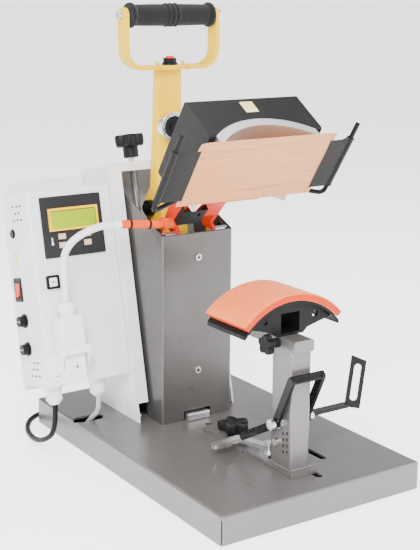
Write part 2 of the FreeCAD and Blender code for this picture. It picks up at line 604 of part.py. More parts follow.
mains_start = box_point(GLANDS[0][0], GLANDS[0][1], -26.0)
floor_z = MAINS_D / 2 + 0.02
COIL_C = (28.0, 296.0)                  # (x, y) of the coil's middle
COIL_R = 37.5                           # middle of its turns
COIL_W = 2 * MAINS_D                    # two turns side by side, four layers
COIL_H = 4 * MAINS_D
coil_y = COIL_C[1] - COIL_R - COIL_W / 2 + MAINS_D / 2
mains_route = [mains_start, box_point(GLANDS[0][0] - 1, GLANDS[0][1] + 4.0, -62.0),
               (-193.0, 128.0, 15.0), (-190.0, 170.0, floor_z), (-180.0, 214.0, floor_z),
               (-152.0, 252.0, floor_z), (-102.0, 265.0, floor_z), (-46.0, 260.5, floor_z),
               (-8.0, coil_y, floor_z), (COIL_C[0], coil_y, floor_z)]
coil = ring(COIL_R + COIL_W / 2, COIL_R - COIL_W / 2, (*COIL_C, 0.0), (0, 0, 1), COIL_H)
export("mains_coil", coil)
mains = route_tube(mains_route, MAINS_D, "mains lead")
export("mains_lead", mains.cut(coil))

# the plug lies beside the coil, with its tapered sleeve coming off the top turn
PLUG_Y = COIL_C[1] - COIL_R + MAINS_D / 2
PLUG_START = V(50.0, PLUG_Y, 26.0)
PLUG_TILT = 7.2                         # degrees, down from the coil's top to the floor
plug = Part.makeCone(4.6, 7.0, 30.0)
plug = fuse(plug, Part.makeCone(9.0, 18.0, 12.0, V(0, 0, 30.0)), cyl(18.0, (0, 0, 42.0), (0, 0, 1), 22.0))
for sx in (-1, 1):
    plug = plug.fuse(cyl(2.4, (0, sx * 9.5, 64.0), (0, 0, 1), 19.0))
plug.rotate(V(0, 0, 0), Y_AXIS, 90.0 + PLUG_TILT)
plug.translate(PLUG_START)
export("mains_plug", plug.cut(coil).removeSplitter())

# ---------------------------------------------------------------- wiring into the base
end = box_point(GLANDS[1][0], GLANDS[1][1], -26.0)
conduit_route = [end, box_point(GLANDS[1][0] - 1, GLANDS[1][1] + 1.0, -46.0),
                 (-125.0, 116.0, 40.0), (-128.0, 130.0, 24.0)]
export("base_wiring", route_tube(conduit_route, 7.0, "base wiring"))

# ---------------------------------------------------------------- sliding post with the pad
RAIL_T = 5.0
RAIL_TOP = BASE_H + 0.3 + RAIL_T
rail = rounded(-20, 20, -195.0, 0.0, BASE_H + 0.3, RAIL_TOP, 4.0, Z_AXIS)
rail = rail.cut(cyl(4.2, (0, -45, BASE_H - 2), (0, 0, 1), 12))

post = rounded(-POST_X, POST_X, POST_FRONT, POST_REAR, RAIL_TOP, POST_TOP + 3.0, 4.0, Z_AXIS)
bore = rounded(-POST_X + 3, POST_X - 3, POST_FRONT + 3, POST_REAR - 3, RAIL_TOP - 1, POST_TOP + 1,
               1.5, Z_AXIS)
post = post.cut(bore)
YOKE_PIVOT = (-165.0, 99.0)
post = post.cut(cyl(4.0, (-30, *YOKE_PIVOT), (1, 0, 0), 60))
for i in range(4):
    for y in (-170.0, -177.4):
        post = post.cut(cyl(2.3, (-30, y, 62.0 + 8.0 * i - (y + 170.0) * 0.3), (1, 0, 0), 20))

beam = rounded(-POST_X, POST_X, POST_FRONT - 3.5, -78.0, POST_TOP, POST_TOP + 15.0, 3.0, Y_AXIS)
beam = beam.cut(box(-POST_X + 2.5, POST_X - 2.5, POST_FRONT, -70.0, POST_TOP + 2.5, POST_TOP + 12.5))
beam = beam.cut(cyl(4.05, (-20, -157.0, POST_TOP + 7.5), (1, 0, 0), 10))
post_frame = fuse(rail, post, beam)
export("post_frame", post_frame)

gusset_low = POST_TOP + 15.3
plate_r = PAD_R - PAD_T


def gusset(y0, y1):
    """Upright web: arc on top under the pad plate, narrowing to the beam."""
    outline = [(-20.0, gusset_low), (20.0, gusset_low), (26.0, gusset_low + 6.0), (64.0, 222.0),
               (64.0, 250.0), (-64.0, 250.0), (-64.0, 222.0), (-26.0, gusset_low + 6.0)]
    web_plate = prism_y(outline, y0, y1)
    disc = cyl(plate_r - 3.0, (0, y0 - 1, PAD_CENTRE_Z), (0, 1, 0), y1 - y0 + 2)
    web_plate = web_plate.common(disc)
    for x in (-38.0, 38.0):
        web_plate = web_plate.cut(cyl(4.5, (x, y0 - 1, 228.0), (0, 1, 0), y1 - y0 + 2))
    return web_plate


socket_outer = box(-17, 17, -160.0, -92.0, gusset_low, gusset_low + 31.0)
socket_inner = box(-14, 14, -170.0, -80.0, gusset_low + 3.0, gusset_low + 28.0)
plate = ring(plate_r, plate_r - 3.0, (0, PAD_FRONT + 2.0, PAD_CENTRE_Z), (0, 1, 0),
             PAD_REAR - PAD_FRONT - 4.0)
plate = plate.common(box(-71, 71, -200, -50, PAD_CENTRE_Z + 50, PAD_CENTRE_Z + 120))
holder = fuse(gusset(-160.0, -156.0), gusset(-96.0, -92.0), socket_outer, plate)
holder = holder.cut(socket_inner)
export("pad_holder", holder)

pad = ring(PAD_R, plate_r, (0, PAD_FRONT, PAD_CENTRE_Z), (0, 1, 0), PAD_REAR - PAD_FRONT)
pad_rise = math.sqrt(PAD_R ** 2 - PAD_HALF ** 2)
wedge = prism_y([(0.0, PAD_CENTRE_Z), (-2 * PAD_HALF, PAD_CENTRE_Z + 2 * pad_rise),
                 (2 * PAD_HALF, PAD_CENTRE_Z + 2 * pad_rise)], -200.0, -50.0)
pad = pad.common(wedge)
export("press_pad", pad)

bolts = []
bolts.append(cyl(4.0, (-26.9, *YOKE_PIVOT), (1, 0, 0), 53.8))
bolts.append(cyl(6.5, (-32.0, *YOKE_PIVOT), (1, 0, 0), 5.1))
bolts.append(cyl(6.5, (26.9, *YOKE_PIVOT), (1, 0, 0), 5.1))
pivot_bolt = fuse(*bolts)
tail_bolt = fuse(cyl(4.5, (-19.5, -158.0, 72.0), (1, 0, 0), 4.5), cyl(4.5, (15.0, -158.0, 72.0), (1, 0, 0), 7.0))

spacers = []
for sx in (-1, 1):
    spacers.append(ring(7.0, 4.0, (sx * 15.0, *YOKE_PIVOT), (sx, 0, 0), 5.2))
export("post_bolts", compound([pivot_bolt] + tail_bolt.Solids + spacers))

# ---------------------------------------------------------------- knobs on the carriage
knob = star(5, 14.0, 7.0, 15.0, 0.0, 12.0)
knob = fuse(knob, cyl(9.0, (0, 0, -5.0), (0, 0, 1), 5.0), cyl(4.0, (0, 0, -19.0), (0, 0, 1), 20.0))
knob.translate(V(0, -45.0, RAIL_TOP + 5.3))
export("rail_knob", knob)
knob = star(5, 9.0, 4.0, 9.0, 0.0, 10.0)
knob = fuse(knob, cyl(6.0, (0, 0, -11.5), (0, 0, 1), 11.5), cyl(4.0, (0, 0, -16.5), (0, 0, 1), 16.5))
knob.rotate(V(0, 0, 0), Y_AXIS, -90)
knob.translate(V(-POST_X - 12.0, -157.0, POST_TOP + 7.5))
export("beam_knob", knob)


# ---------------------------------------------------------------- cap yoke
def bar_yz(p, q, width, x0, x1):
    """Flat bar lying in a Y-Z plane from p to q with round ends."""
    (py, pz), (qy, qz) = p, q
    length = math.hypot(qy - py, qz - pz)
    ny, nz = -(qz - pz) / length * width / 2, (qy - py) / length * width / 2
    body = prism_x([(py + ny, pz + nz), (qy + ny, qz + nz), (qy - ny, qz - nz), (py - ny, pz - nz)],
                   x0, x1)
    return fuse(body, cyl(width / 2, (x0, py, pz), (1, 0, 0), x1 - x0),
                cyl(width / 2, (x0, qy, qz), (1, 0, 0), x1 - x0))


YOKE_IN, YOKE_OUT = 20.5, 25.5
CROSS = (-194.0, 160.0)
left = fuse(bar_yz(YOKE_PIVOT, CROSS, 10.0, -YOKE_OUT, -YOKE_IN),
            bar_yz(YOKE_PIVOT, (-98.0, 61.0), 10.0, -YOKE_OUT, -YOKE_IN))
right = fuse(bar_yz(YOKE_PIVOT, CROSS, 10.0, YOKE_IN, YOKE_OUT),
             bar_yz(YOKE_PIVOT, (-137.0, 88.0), 10.0, YOKE_IN, YOKE_OUT))
cross_bar = bar_yz((CROSS[0] - 2.0, CROSS[1] - 1.0), (CROSS[0] + 0.5, CROSS[1] + 4.0), 5.0,
                   -YOKE_OUT, YOKE_OUT)
tie = box(YOKE_OUT, 112.0, -142.0, -132.0, 86.0, 91.0)
slot_plate = box(-10, 10, -1.5, 1.5, 0, 68.0)
slot_plate = slot_plate.cut(rounded(-4.5, 4.5, -3, 3, 9.0, 58.0, 4.4, Y_AXIS))
top_cut = prism_y([(-11.0, 68.5), (11.0, 63.0), (11.0, 80.0), (-11.0, 80.0)], -3, 3)
slot_plate = slot_plate.cut(top_cut)
slot_plate.rotate(V(0, 0, 0), Z_AXIS, -38)
slot_plate.rotate(V(0, 0, 0), Y_AXIS, 8.5)
slot_plate.translate(V(117.0, -143.0, 86.0))
yoke = fuse(left, right, cross_bar, tie, slot_plate)
yoke = yoke.cut(cyl(4.05, (-40, *YOKE_PIVOT), (1, 0, 0), 80))
export("cap_yoke", yoke)

# ---------------------------------------------------------------- toggle handle
TOGGLE = (-4.0, -128.0)
lower = RAIL_TOP + 8.0


def strip(p, q, width, z0, z1):
    (px, py), (qx, qy) = p, q
    length = math.hypot(qx - px, qy - py)
    nx, ny = -(qy - py) / length * width / 2, (qx - px) / length * width / 2
    body = prism_z([(px + nx, py + ny), (qx + nx, qy + ny), (qx - nx, qy - ny), (px - nx, py - ny)],
                   z0, z1)
    return fuse(body, cyl(width / 2, (px, py, z0), (0, 0, 1), z1 - z0),
                cyl(width / 2, (qx, qy, z0), (0, 0, 1), z1 - z0))


handle = fuse(strip(TOGGLE, (-20.0, -84.0), 12.0, lower, lower + 5.0),
              strip((-20.0, -84.0), (-58.0, -88.0), 12.0, lower, lower + 5.0))
handle = handle.cut(cyl(4.05, (*TOGGLE, lower - 1), (0, 0, 1), 8))
export("toggle_handle", handle)
base = box(-14, 12, -139.0, -117.0, RAIL_TOP, RAIL_TOP + 5.0)
pin = fuse(cyl(4.0, (*TOGGLE, RAIL_TOP), (0, 0, 1), 18.0), cyl(7.0, (*TOGGLE, lower + 5.3), (0, 0, 1), 4.0),
           cyl(7.0, (*TOGGLE, RAIL_TOP), (0, 0, 1), 7.7))
export("toggle_base", fuse(base, pin))

# zinc guide block in the opening at the foot of the cover
block = rounded(-20, 15, 35.0, 59.5, BASE_H, BASE_H + 11.0, 2.0, X_AXIS)
export("guide_block", block)
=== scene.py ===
import bpy
import bmesh
import math
from mathutils import Matrix, Vector, noise


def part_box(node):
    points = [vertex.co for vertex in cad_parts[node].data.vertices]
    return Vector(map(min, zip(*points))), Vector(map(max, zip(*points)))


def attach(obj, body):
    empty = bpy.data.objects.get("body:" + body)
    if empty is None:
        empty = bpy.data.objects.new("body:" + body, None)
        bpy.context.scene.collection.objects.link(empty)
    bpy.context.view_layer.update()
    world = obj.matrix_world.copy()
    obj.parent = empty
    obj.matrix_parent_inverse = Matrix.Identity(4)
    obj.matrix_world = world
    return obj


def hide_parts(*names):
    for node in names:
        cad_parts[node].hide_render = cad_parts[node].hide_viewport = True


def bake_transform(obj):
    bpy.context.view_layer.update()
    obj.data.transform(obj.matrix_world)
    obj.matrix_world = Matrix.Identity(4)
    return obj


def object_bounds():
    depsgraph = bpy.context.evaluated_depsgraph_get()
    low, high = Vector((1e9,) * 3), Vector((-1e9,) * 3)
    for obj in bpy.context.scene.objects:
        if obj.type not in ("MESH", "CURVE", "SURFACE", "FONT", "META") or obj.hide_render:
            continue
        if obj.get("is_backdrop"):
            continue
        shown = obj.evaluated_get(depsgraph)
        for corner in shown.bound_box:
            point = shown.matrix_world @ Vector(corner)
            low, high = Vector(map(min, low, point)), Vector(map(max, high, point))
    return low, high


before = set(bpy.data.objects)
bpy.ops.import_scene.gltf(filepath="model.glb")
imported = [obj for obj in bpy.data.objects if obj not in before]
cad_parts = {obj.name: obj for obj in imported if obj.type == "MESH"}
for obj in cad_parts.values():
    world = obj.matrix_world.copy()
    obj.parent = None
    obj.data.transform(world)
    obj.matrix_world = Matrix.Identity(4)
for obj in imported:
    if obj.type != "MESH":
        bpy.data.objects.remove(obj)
cad_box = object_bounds()

# Looks of an open cap heat press. Lengths below are millimetres, turned into metres by MM.
MM = 0.001

# ------------------------------------------------------------ the frame's own places
HEAD_OPEN = math.radians(56.3)
HEAD = Matrix.Translation((0, -0.0537, 0.4839)) @ Matrix.Rotation(-HEAD_OPEN, 4, "X")
LEAN = math.atan2(78.0, 346.0)
BOX = Matrix.Translation((0, 0.0865, 0.104)) @ Matrix.Rotation(-LEAN, 4, "X")
BOX_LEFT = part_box("control_box")[0].x / MM
SHEET_W, SHEET_D, SHEET_Z = 204.0, 100.0, -76.3
ROD_X, ROD_Z = 131.0, -74.0
MAINS_D, LEAD_D, CONDUIT_D = 7.2, 9.5, 7.0
GRIP = Vector((0, 0.115, 0.582))
KNOB = Matrix.Translation((0, 0.225, 0.401)) @ Matrix.Rotation(-LEAN, 4, "X")
RAIL_TOP = 41.8
POST_TOP = 191.0


def head(x, y, z):
    """Head coordinates, y back from its front wall and z up from its top, to the frame."""
    return HEAD @ Vector((x * MM, y * MM, z * MM))


def on_box(x, back, up):
    """Control box coordinates to the frame."""
    return BOX @ Vector((x * MM, back * MM, up * MM))


def mm(x, y, z):
    return Vector((x * MM, y * MM, z * MM))


def front_wall(x, up, back):
    """Place on the box's front, with the local Z axis out of it and Y up."""
    return BOX @ Matrix.Translation(mm(x, back, up)) @ Matrix.Rotation(math.pi / 2, 4, "X")


def left_wall(back, up, x=BOX_LEFT):
    """Place on the box's left wall, with the local Z axis out of it and Y up."""
    turn = Matrix(((0, 0, -1, 0), (-1, 0, 0, 0), (0, 1, 0, 0), (0, 0, 0, 1)))
    return BOX @ Matrix.Translation(mm(x, back, up)) @ turn


# ------------------------------------------------------------ materials
DARK, WEAK_HIGHLIGHT = 0.06, 0.16


class Nodes:
    """A small builder for one material's node tree."""

    def __init__(self, name, colour, rough, metallic=0.0, **uniform):
        self.mat = bpy.data.materials.new(name)
        self.mat.use_nodes = True
        self.tree = self.mat.node_tree
        self.shader = self.tree.nodes["Principled BSDF"]
        self.shader.inputs["Base Color"].default_value = (*colour, 1)
        self.shader.inputs["Roughness"].default_value = rough
        self.shader.inputs["Metallic"].default_value = metallic
        for socket, value in uniform.items():
            self.shader.inputs[socket.replace("_", " ")].default_value = value
        self.coords = self.tree.nodes.new("ShaderNodeTexCoord").outputs["Object"]
        # dark and strongly coloured coats keep a weak highlight, so they stay deep
        if metallic == 0.0 and (max(colour) < DARK or max(colour) > 3 * min(colour)):
            self.shader.inputs["Specular IOR Level"].default_value = WEAK_HIGHLIGHT
        self.normal = None

    def stretched(self, scale):
        node = self.tree.nodes.new("ShaderNodeMapping")
        node.inputs["Scale"].default_value = scale
        self.tree.links.new(self.coords, node.inputs["Vector"])
        return node.outputs["Vector"]

    def noise(self, scale, detail=4.0, rough=0.55, stretch=(1, 1, 1)):
        node = self.tree.nodes.new("ShaderNodeTexNoise")
        node.inputs["Scale"].default_value = scale
        node.inputs["Detail"].default_value = detail
        node.inputs["Roughness"].default_value = rough
        self.tree.links.new(self.stretched(stretch), node.inputs["Vector"])
        return node.outputs["Fac"]

    def cells(self, scale, feature="F1", stretch=(1, 1, 1)):
        node = self.tree.nodes.new("ShaderNodeTexVoronoi")
        node.feature = feature
        node.inputs["Scale"].default_value = scale
        self.tree.links.new(self.stretched(stretch), node.inputs["Vector"])
        return node.outputs["Distance"]

    def bands(self, scale, direction, distortion=0.0):
        node = self.tree.nodes.new("ShaderNodeTexWave")
        node.bands_direction = direction
        node.inputs["Scale"].default_value = scale
        node.inputs["Distortion"].default_value = distortion
        self.tree.links.new(self.coords, node.inputs["Vector"])
        return node.outputs["Fac"]

    def product(self, a, b):
        node = self.tree.nodes.new("ShaderNodeMath")
        node.operation = "MULTIPLY"
        self.tree.links.new(a, node.inputs[0])
        self.tree.links.new(b, node.inputs[1])
        return node.outputs[0]

    def ramp(self, value, stops):
        node = self.tree.nodes.new("ShaderNodeValToRGB")
        elements = node.color_ramp.elements
        while len(elements) < len(stops):
            elements.new(0.5)
        for element, (place, colour) in zip(elements, stops):
            element.position = place
            element.color = (*colour, 1)
        self.tree.links.new(value, node.inputs["Fac"])
        return node.outputs["Color"]

    def colour(self, value, stops):
        self.tree.links.new(self.ramp(value, stops), self.shader.inputs["Base Color"])

    def rough(self, value, low, high):
        node = self.tree.nodes.new("ShaderNodeMapRange")
        node.inputs["From Min"].default_value = 0.3
        node.inputs["From Max"].default_value = 0.7
        node.inputs["To Min"].default_value = low
        node.inputs["To Max"].default_value = high
        self.tree.links.new(value, node.inputs["Value"])
        self.tree.links.new(node.outputs["Result"], self.shader.inputs["Roughness"])

    def bump(self, value, depth, strength=1.0):
        """Raise the surface by value times depth, in metres, on top of earlier bumps."""
        node = self.tree.nodes.new("ShaderNodeBump")
        node.inputs["Distance"].default_value = depth
        node.inputs["Strength"].default_value = strength
        self.tree.links.new(value, node.inputs["Height"])
        if self.normal:
            self.tree.links.new(self.normal, node.inputs["Normal"])
        self.normal = node.outputs["Normal"]
        self.tree.links.new(self.normal, self.shader.inputs["Normal"])


def shade(colour, amount):
    return tuple(min(1.0, c * amount) for c in colour)


def paint(name, colour, rough, peel=0.00006, peel_scale=700, spread=0.05, coat=0.0,
          metallic=0.0):
    """Powder coat: slow colour drift, fine orange peel, a few dull specks."""
    n = Nodes(name, colour, rough, metallic, Coat_Weight=coat, Coat_Roughness=0.15)
    drift = n.noise(9.0, 6.0, 0.65)
    n.colour(drift, [(0.3, shade(colour, 1 - spread)), (0.7, shade(colour, 1 + spread))])
    n.rough(n.noise(60.0, 5.0), rough - 0.06, rough + 0.08)
    n.bump(n.noise(peel_scale, 2.0), peel)
    return n.mat


def metal(name, colour, rough, stretch=(1, 1, 1), scale=400, depth=0.00003, spread=0.08):
    """Bare or plated metal with fine tool marks along one axis and slight staining."""
    n = Nodes(name, colour, rough, 1.0)
    n.colour(n.noise(35.0, 6.0), [(0.3, shade(colour, 1 - spread)), (0.7, shade(colour, 1 + spread))])
    n.rough(n.noise(scale, 4.0, 0.6, stretch), rough - 0.08, rough + 0.12)
    n.bump(n.noise(scale, 3.0, 0.6, stretch), depth)
    return n.mat


def plastic(name, colour, rough, grain=0.00003, scale=900, spread=0.04):
    """Moulded plastic: fine spark-eroded grain and faint flow marks."""
    n = Nodes(name, colour, rough)
    n.colour(n.noise(25.0, 3.0), [(0.3, shade(colour, 1 - spread)), (0.7, shade(colour, 1 + spread))])
    n.rough(n.noise(120.0, 3.0), rough - 0.05, rough + 0.06)
    n.bump(n.noise(scale, 2.0), grain)
    return n.mat


def foam(name, colour, spread=0.25):
    n = Nodes(name, colour, 0.92, Sheen_Weight=0.08, Sheen_Roughness=0.6)
    n.colour(n.noise(500.0, 4.0), [(0.35, shade(colour, 1 - spread)), (0.65, shade(colour, 1 + spread))])
    n.bump(n.cells(1400.0), 0.00018)
    n.bump(n.noise(160.0, 4.0), 0.00025)
    return n.mat


def pad_skin(name, colour):
    """Smooth moulded face of the silicone sponge: powdery, with a soft mottling."""
    n = Nodes(name, colour, 0.62, Sheen_Weight=0.15, Sheen_Roughness=0.5)
    n.colour(n.noise(30.0, 6.0, 0.6), [(0.25, shade(colour, 0.94)), (0.75, shade(colour, 1.04))])
    n.bump(n.noise(220.0, 4.0), 0.0001)
    n.bump(n.cells(900.0), 0.00003)
    return n.mat


def pad_cut(name, colour):
    """Cut edge of the sponge: open cells with painted shade darkening their pits, and saw marks."""
    n = Nodes(name, colour, 0.9, Subsurface_Weight=0.0)
    # dark in the cell pits, light on their rims: painted shade in the pores
    n.colour(n.cells(700.0), [(0.05, shade(colour, 0.62)), (0.5, shade(colour, 1.12))])
    n.bump(n.cells(700.0), 0.0006)
    n.bump(n.noise(1600.0, 2.0), 0.0002)
    return n.mat


def glass_cloth(name, colour):
    """Coated glass cloth: a fine plain weave under a satin film, streaked along X."""
    n = Nodes(name, colour, 0.42, Sheen_Weight=0.1, Coat_Weight=0.12, Coat_Roughness=0.35)
    streaks = n.noise(60.0, 9.0, 0.75, (0.09, 3.0, 3.0))
    dark, light = shade(colour, 0.5), shade(colour, 1.16)
    n.colour(streaks, [(0.28, dark), (0.46, colour), (0.7, light)])
    weave = n.product(n.bands(330.0, "X"), n.bands(330.0, "Z"))
    n.bump(weave, 0.00006)
    n.bump(n.noise(30.0, 3.0, 0.5, (0.4, 1, 1)), 0.0004)
    n.rough(streaks, 0.36, 0.5)
    return n.mat


def elastic(name, colour):
    """Knitted elastic webbing: cords along its length, a fine cross knit and some fluff."""
    n = Nodes(name, colour, 0.85, Sheen_Weight=0.15, Sheen_Roughness=0.5)
    n.colour(n.noise(700.0, 4.0), [(0.35, shade(colour, 0.55)), (0.65, shade(colour, 1.7))])
    n.bump(n.product(n.bands(420.0, "X"), n.bands(300.0, "Z")), 0.0003)
    n.bump(n.noise(140.0, 3.0), 0.0002)
    return n.mat


def rubber_cord(name, colour, rough):
    """Extruded cord jacket: slight ribs along it from the die, dust and scuffs."""
    n = Nodes(name, colour, rough)
    n.colour(n.noise(90.0, 5.0), [(0.3, shade(colour, 0.85)), (0.75, shade(colour, 1.2))])
    n.rough(n.noise(60.0, 4.0), rough - 0.08, rough + 0.12)
    n.bump(n.noise(450.0, 2.0), 0.00005)
    return n.mat


def braid(name, colour):
    """Woven heat-proof sleeve over the heater lead."""
    n = Nodes(name, colour, 0.75, Sheen_Weight=0.3)
    n.colour(n.noise(60.0, 4.0), [(0.3, shade(colour, 0.9)), (0.7, shade(colour, 1.05))])
    n.bump(n.product(n.bands(210.0, "DIAGONAL"), n.bands(260.0, "Z")), 0.0003)
    return n.mat


GREY = (0.165, 0.158, 0.154)
MAT = {
    "grey": paint("grey_coat", GREY, 0.33, 0.000015, spread=0.03, coat=0.2, metallic=0.5),
    "tower": paint("tower_coat", (0.10, 0.095, 0.092), 0.33, 0.000015, spread=0.04, coat=0.2,
                   metallic=0.55),
    "white": paint("white_coat", (0.80, 0.80, 0.81), 0.42, 0.0001, 900, 0.015),
    "yellow": paint("yellow_paint", (0.80, 0.49, 0.0), 0.34, spread=0.05, coat=0.0),
    "red": paint("red_paint", (0.62, 0.028, 0.008), 0.36, spread=0.07, coat=0.04),
    "black": paint("black_coat", (0.005, 0.005, 0.0055), 0.42, 0.00008, 900, 0.2),
    "housing": paint("housing_coat", (0.014, 0.0135, 0.0135), 0.4, 0.0001, 1000, 0.12),
    "gloss_black": paint("black_gloss", (0.004, 0.004, 0.0045), 0.28, spread=0.2, coat=0.1),
    # dark primer of the pivot bracket; the same dark is also painted shade in cross recesses
    "dark": paint("dark_primer_and_recess_shade", (0.02, 0.02, 0.021), 0.5),
    "zinc": metal("zinc_plate", (0.74, 0.74, 0.73), 0.3),
    "steel": metal("ground_steel", (0.56, 0.56, 0.57), 0.28, (6, 1, 1)),
    "turned": metal("turned_aluminium", (0.82, 0.82, 0.83), 0.25, (1, 8, 1), 260),
    "cast": metal("cast_aluminium", (0.86, 0.86, 0.86), 0.42, (1, 1, 1), 240, 0.00012, 0.05),
    "polished": metal("polished_zinc", (0.88, 0.88, 0.87), 0.16, (1, 1, 1), 120, 0.00003, 0.04),
    "spring": metal("spring_wire", (0.35, 0.35, 0.36), 0.35),
    "mica": plastic("mica_plate", (0.52, 0.42, 0.24), 0.5, 0.0001, 300, 0.2),
    "black_plastic": plastic("black_plastic", (0.006, 0.006, 0.0065), 0.45),
    "knob": plastic("knob_plastic", (0.008, 0.008, 0.009), 0.5, 0.00005, 700, 0.1),
    "light_plastic": plastic("light_grey_plastic", (0.76, 0.76, 0.75), 0.36),
    "white_plastic": plastic("white_plastic", (0.86, 0.86, 0.85), 0.32),
    "red_plastic": plastic("red_plastic", (0.80, 0.03, 0.008), 0.22, spread=0.08),
    "panel": plastic("printed_film", (0.022, 0.0215, 0.024), 0.38, 0.00002),
    "key": plastic("key_film", (0.72, 0.66, 0.52), 0.4),
    "print_orange": plastic("orange_print", (0.70, 0.13, 0.015), 0.5, spread=0.1),
    "print_yellow": plastic("yellow_print", (0.85, 0.52, 0.005), 0.4, spread=0.08),
    "print_white": plastic("white_print", (0.78, 0.78, 0.76), 0.5),
    "print_grey": plastic("grey_print", (0.42, 0.42, 0.43), 0.5),
    "label": plastic("paper_label", (0.90, 0.72, 0.36), 0.55, 0.00003, 500, 0.03),
    "lcd": plastic("lcd_glass", (0.30, 0.42, 0.0), 0.2, 0.00001, 200, 0.06),
    # a darker copy of the LCD window's green: painted shade, laid along the window's top and right edges
    "lcd_shade": plastic("lcd_painted_shade", (0.11, 0.14, 0.02), 0.3),
    "silicone": rubber_cord("orange_silicone", (0.78, 0.085, 0.012), 0.5),
    "black_rubber": rubber_cord("black_rubber", (0.004, 0.004, 0.0045), 0.45),
    "conduit": rubber_cord("grey_sleeving", (0.42, 0.41, 0.40), 0.5),
    "braid": braid("white_braid", (0.83, 0.83, 0.82)),
    "foam": foam("black_foam", (0.007, 0.0066, 0.007)),
    "pad": pad_skin("sponge_skin", (0.93, 0.205, 0.04)),
    # the cut sides take a darker orange than the top: partly their open cells, partly painted shade on the
    # sides
    "pad_side_shaded": pad_cut("sponge_edge_shaded", (0.58, 0.05, 0.014)),
    "cloth": glass_cloth("glass_cloth", (0.60, 0.26, 0.105)),
    "thread": plastic("brown_thread", (0.33, 0.17, 0.09), 0.7, 0.0001, 2500, 0.2),
    "elastic": elastic("black_elastic", (0.006, 0.0058, 0.0058)),
}

NODE_LOOKS = {
    "grey": ["base_pan", "base_floor", "post_frame"],
    "tower": ["tower_cover"],
    "white": ["rear_frame", "control_box", "box_plate"],
    "yellow": ["lever_body", "handle_fork"],
    "red": ["arm_fork"],
    "black": ["sheet_rods", "lead_bracket", "pad_holder"],
    "housing": ["head_housing"],
    "gloss_black": ["cap_yoke"],
    "dark": ["pivot_bracket"],
    "polished": ["toggle_handle"],
    "zinc": ["case_screws", "guide_block", "toggle_base", "grip_bolt", "post_bolts"],
    "steel": ["lever_shaft", "arm_pins", "pressure_spindle", "crosshead"],
    "turned": ["pressure_hub"],
    "cast": ["heated_platen"],
    "mica": ["heating_element"],
    "black_plastic": ["timer_bezel", "rocker_frame", "box_fittings"],
    "light_plastic": ["cable_glands"],
    "white_plastic": ["connector_socket", "plug_hood", "connector_latch"],
    "red_plastic": ["timer_button", "rocker_button"],
    "panel": ["display_panel"],
    "print_yellow": ["display_window"],
    "key": ["key_1", "key_2", "key_3", "key_4"],
    "silicone": ["lead_sleeve"],
    "black_rubber": ["hub_insert", "knee_rollers"],
}
for look, names in NODE_LOOKS.items():
    for name in names:
        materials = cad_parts[name].data.materials
        for i in range(len(materials)):
            materials[i] = MAT[look]
        if not materials:
            materials.append(MAT[look])


# ------------------------------------------------------------ mesh helpers
def mesh_piece(name, verts, faces, materials, body=None, smooth=True):
    """New mesh in the frame's coordinates, riding on a body."""
    mesh = bpy.data.meshes.new(name)
    mesh.from_pydata([tuple(v) for v in verts], [], faces)
    mesh.validate()
    mesh.update()
    bm = bmesh.new()
    bm.from_mesh(mesh)
    bmesh.ops.recalc_face_normals(bm, faces=bm.faces)
    bm.to_mesh(mesh)
    bm.free()
    for polygon in mesh.polygons:
        polygon.use_smooth = smooth
    mesh.set_sharp_from_angle(angle=math.radians(38))
    obj = bpy.data.objects.new(name, mesh)
    bpy.context.scene.collection.objects.link(obj)
    for material in materials:
        mesh.materials.append(MAT[material])
    if body:
        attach(obj, body)
    return obj


def lathe(name, profile, matrix, material, body, segments=72, wobble=0.0):
    """Closed body turned about the matrix's Z axis from (radius, height) points in mm."""
    verts, faces = [], []
    count = len(profile)
    for i in range(segments):
        angle = 2 * math.pi * i / segments
        for r, z in profile:
            spot = Vector((r * math.cos(angle), r * math.sin(angle), z))
            r = r + wobble * noise.noise(spot * 0.35)
            verts.append(matrix @ mm(r * math.cos(angle), r * math.sin(angle), z))
    for i in range(segments):
        j = (i + 1) % segments
        for k in range(count - 1):
            faces.append((i * count + k, j * count + k, j * count + k + 1, i * count + k + 1))
    for k in (0, count - 1):
        faces.append([i * count + k for i in range(segments)])
    return mesh_piece(name, verts, faces, [material], body)


def ring_sweep(points, outline, closed_path=False):
    """Sweep a closed 2-D outline (list of (u, v), metres) along points; returns verts and faces."""
    verts, faces = [], []
    n, m = len(points), len(outline)
    tangent = (points[1] - points[0]).normalized()
    side = tangent.orthogonal().normalized()
    for i, p in enumerate(points):
        a = points[(i - 1) % n] if (i or closed_path) else p
        b = points[(i + 1) % n] if (i < n - 1 or closed_path) else p
        tangent = (b - a).normalized()
        side = (side - tangent * side.dot(tangent)).normalized()
        up = tangent.cross(side)
        for u, v in outline:
            verts.append(p + side * u + up * v)
    for i in range(n if closed_path else n - 1):
        j = (i + 1) % n
        for k in range(m):
            l = (k + 1) % m
            faces.append((i * m + k, j * m + k, j * m + l, i * m + l))
    if not closed_path:
        faces.append(list(range(m)))
        faces.append(list(range((n - 1) * m, n * m)))
    return verts, faces


def circle(r, count=10):
    return [(r * math.cos(2 * math.pi * k / count), r * math.sin(2 * math.pi * k / count))
            for k in range(count)]


def bead(name, points, radius, material, body):
    """Weld bead: a tube with overlapping ripples. Points in the frame, radius in mm."""
    path = []
    for a, b in zip(points, points[1:]):
        steps = max(2, int((b - a).length / (0.7 * MM)))
        path += [a.lerp(b, i / steps) for i in range(steps)]
    path.append(points[-1])
    verts, faces = ring_sweep(path, circle(radius * MM, 10))
    for i, p in enumerate(path):
        ripple = 1.0 + 0.16 * abs(math.sin(i * 0.75)) + 0.2 * noise.noise(p * 210)
        for k in range(10):
            v = verts[i * 10 + k]
            verts[i * 10 + k] = p + (v - p) * ripple
    return mesh_piece(name, verts, faces, [material], body)


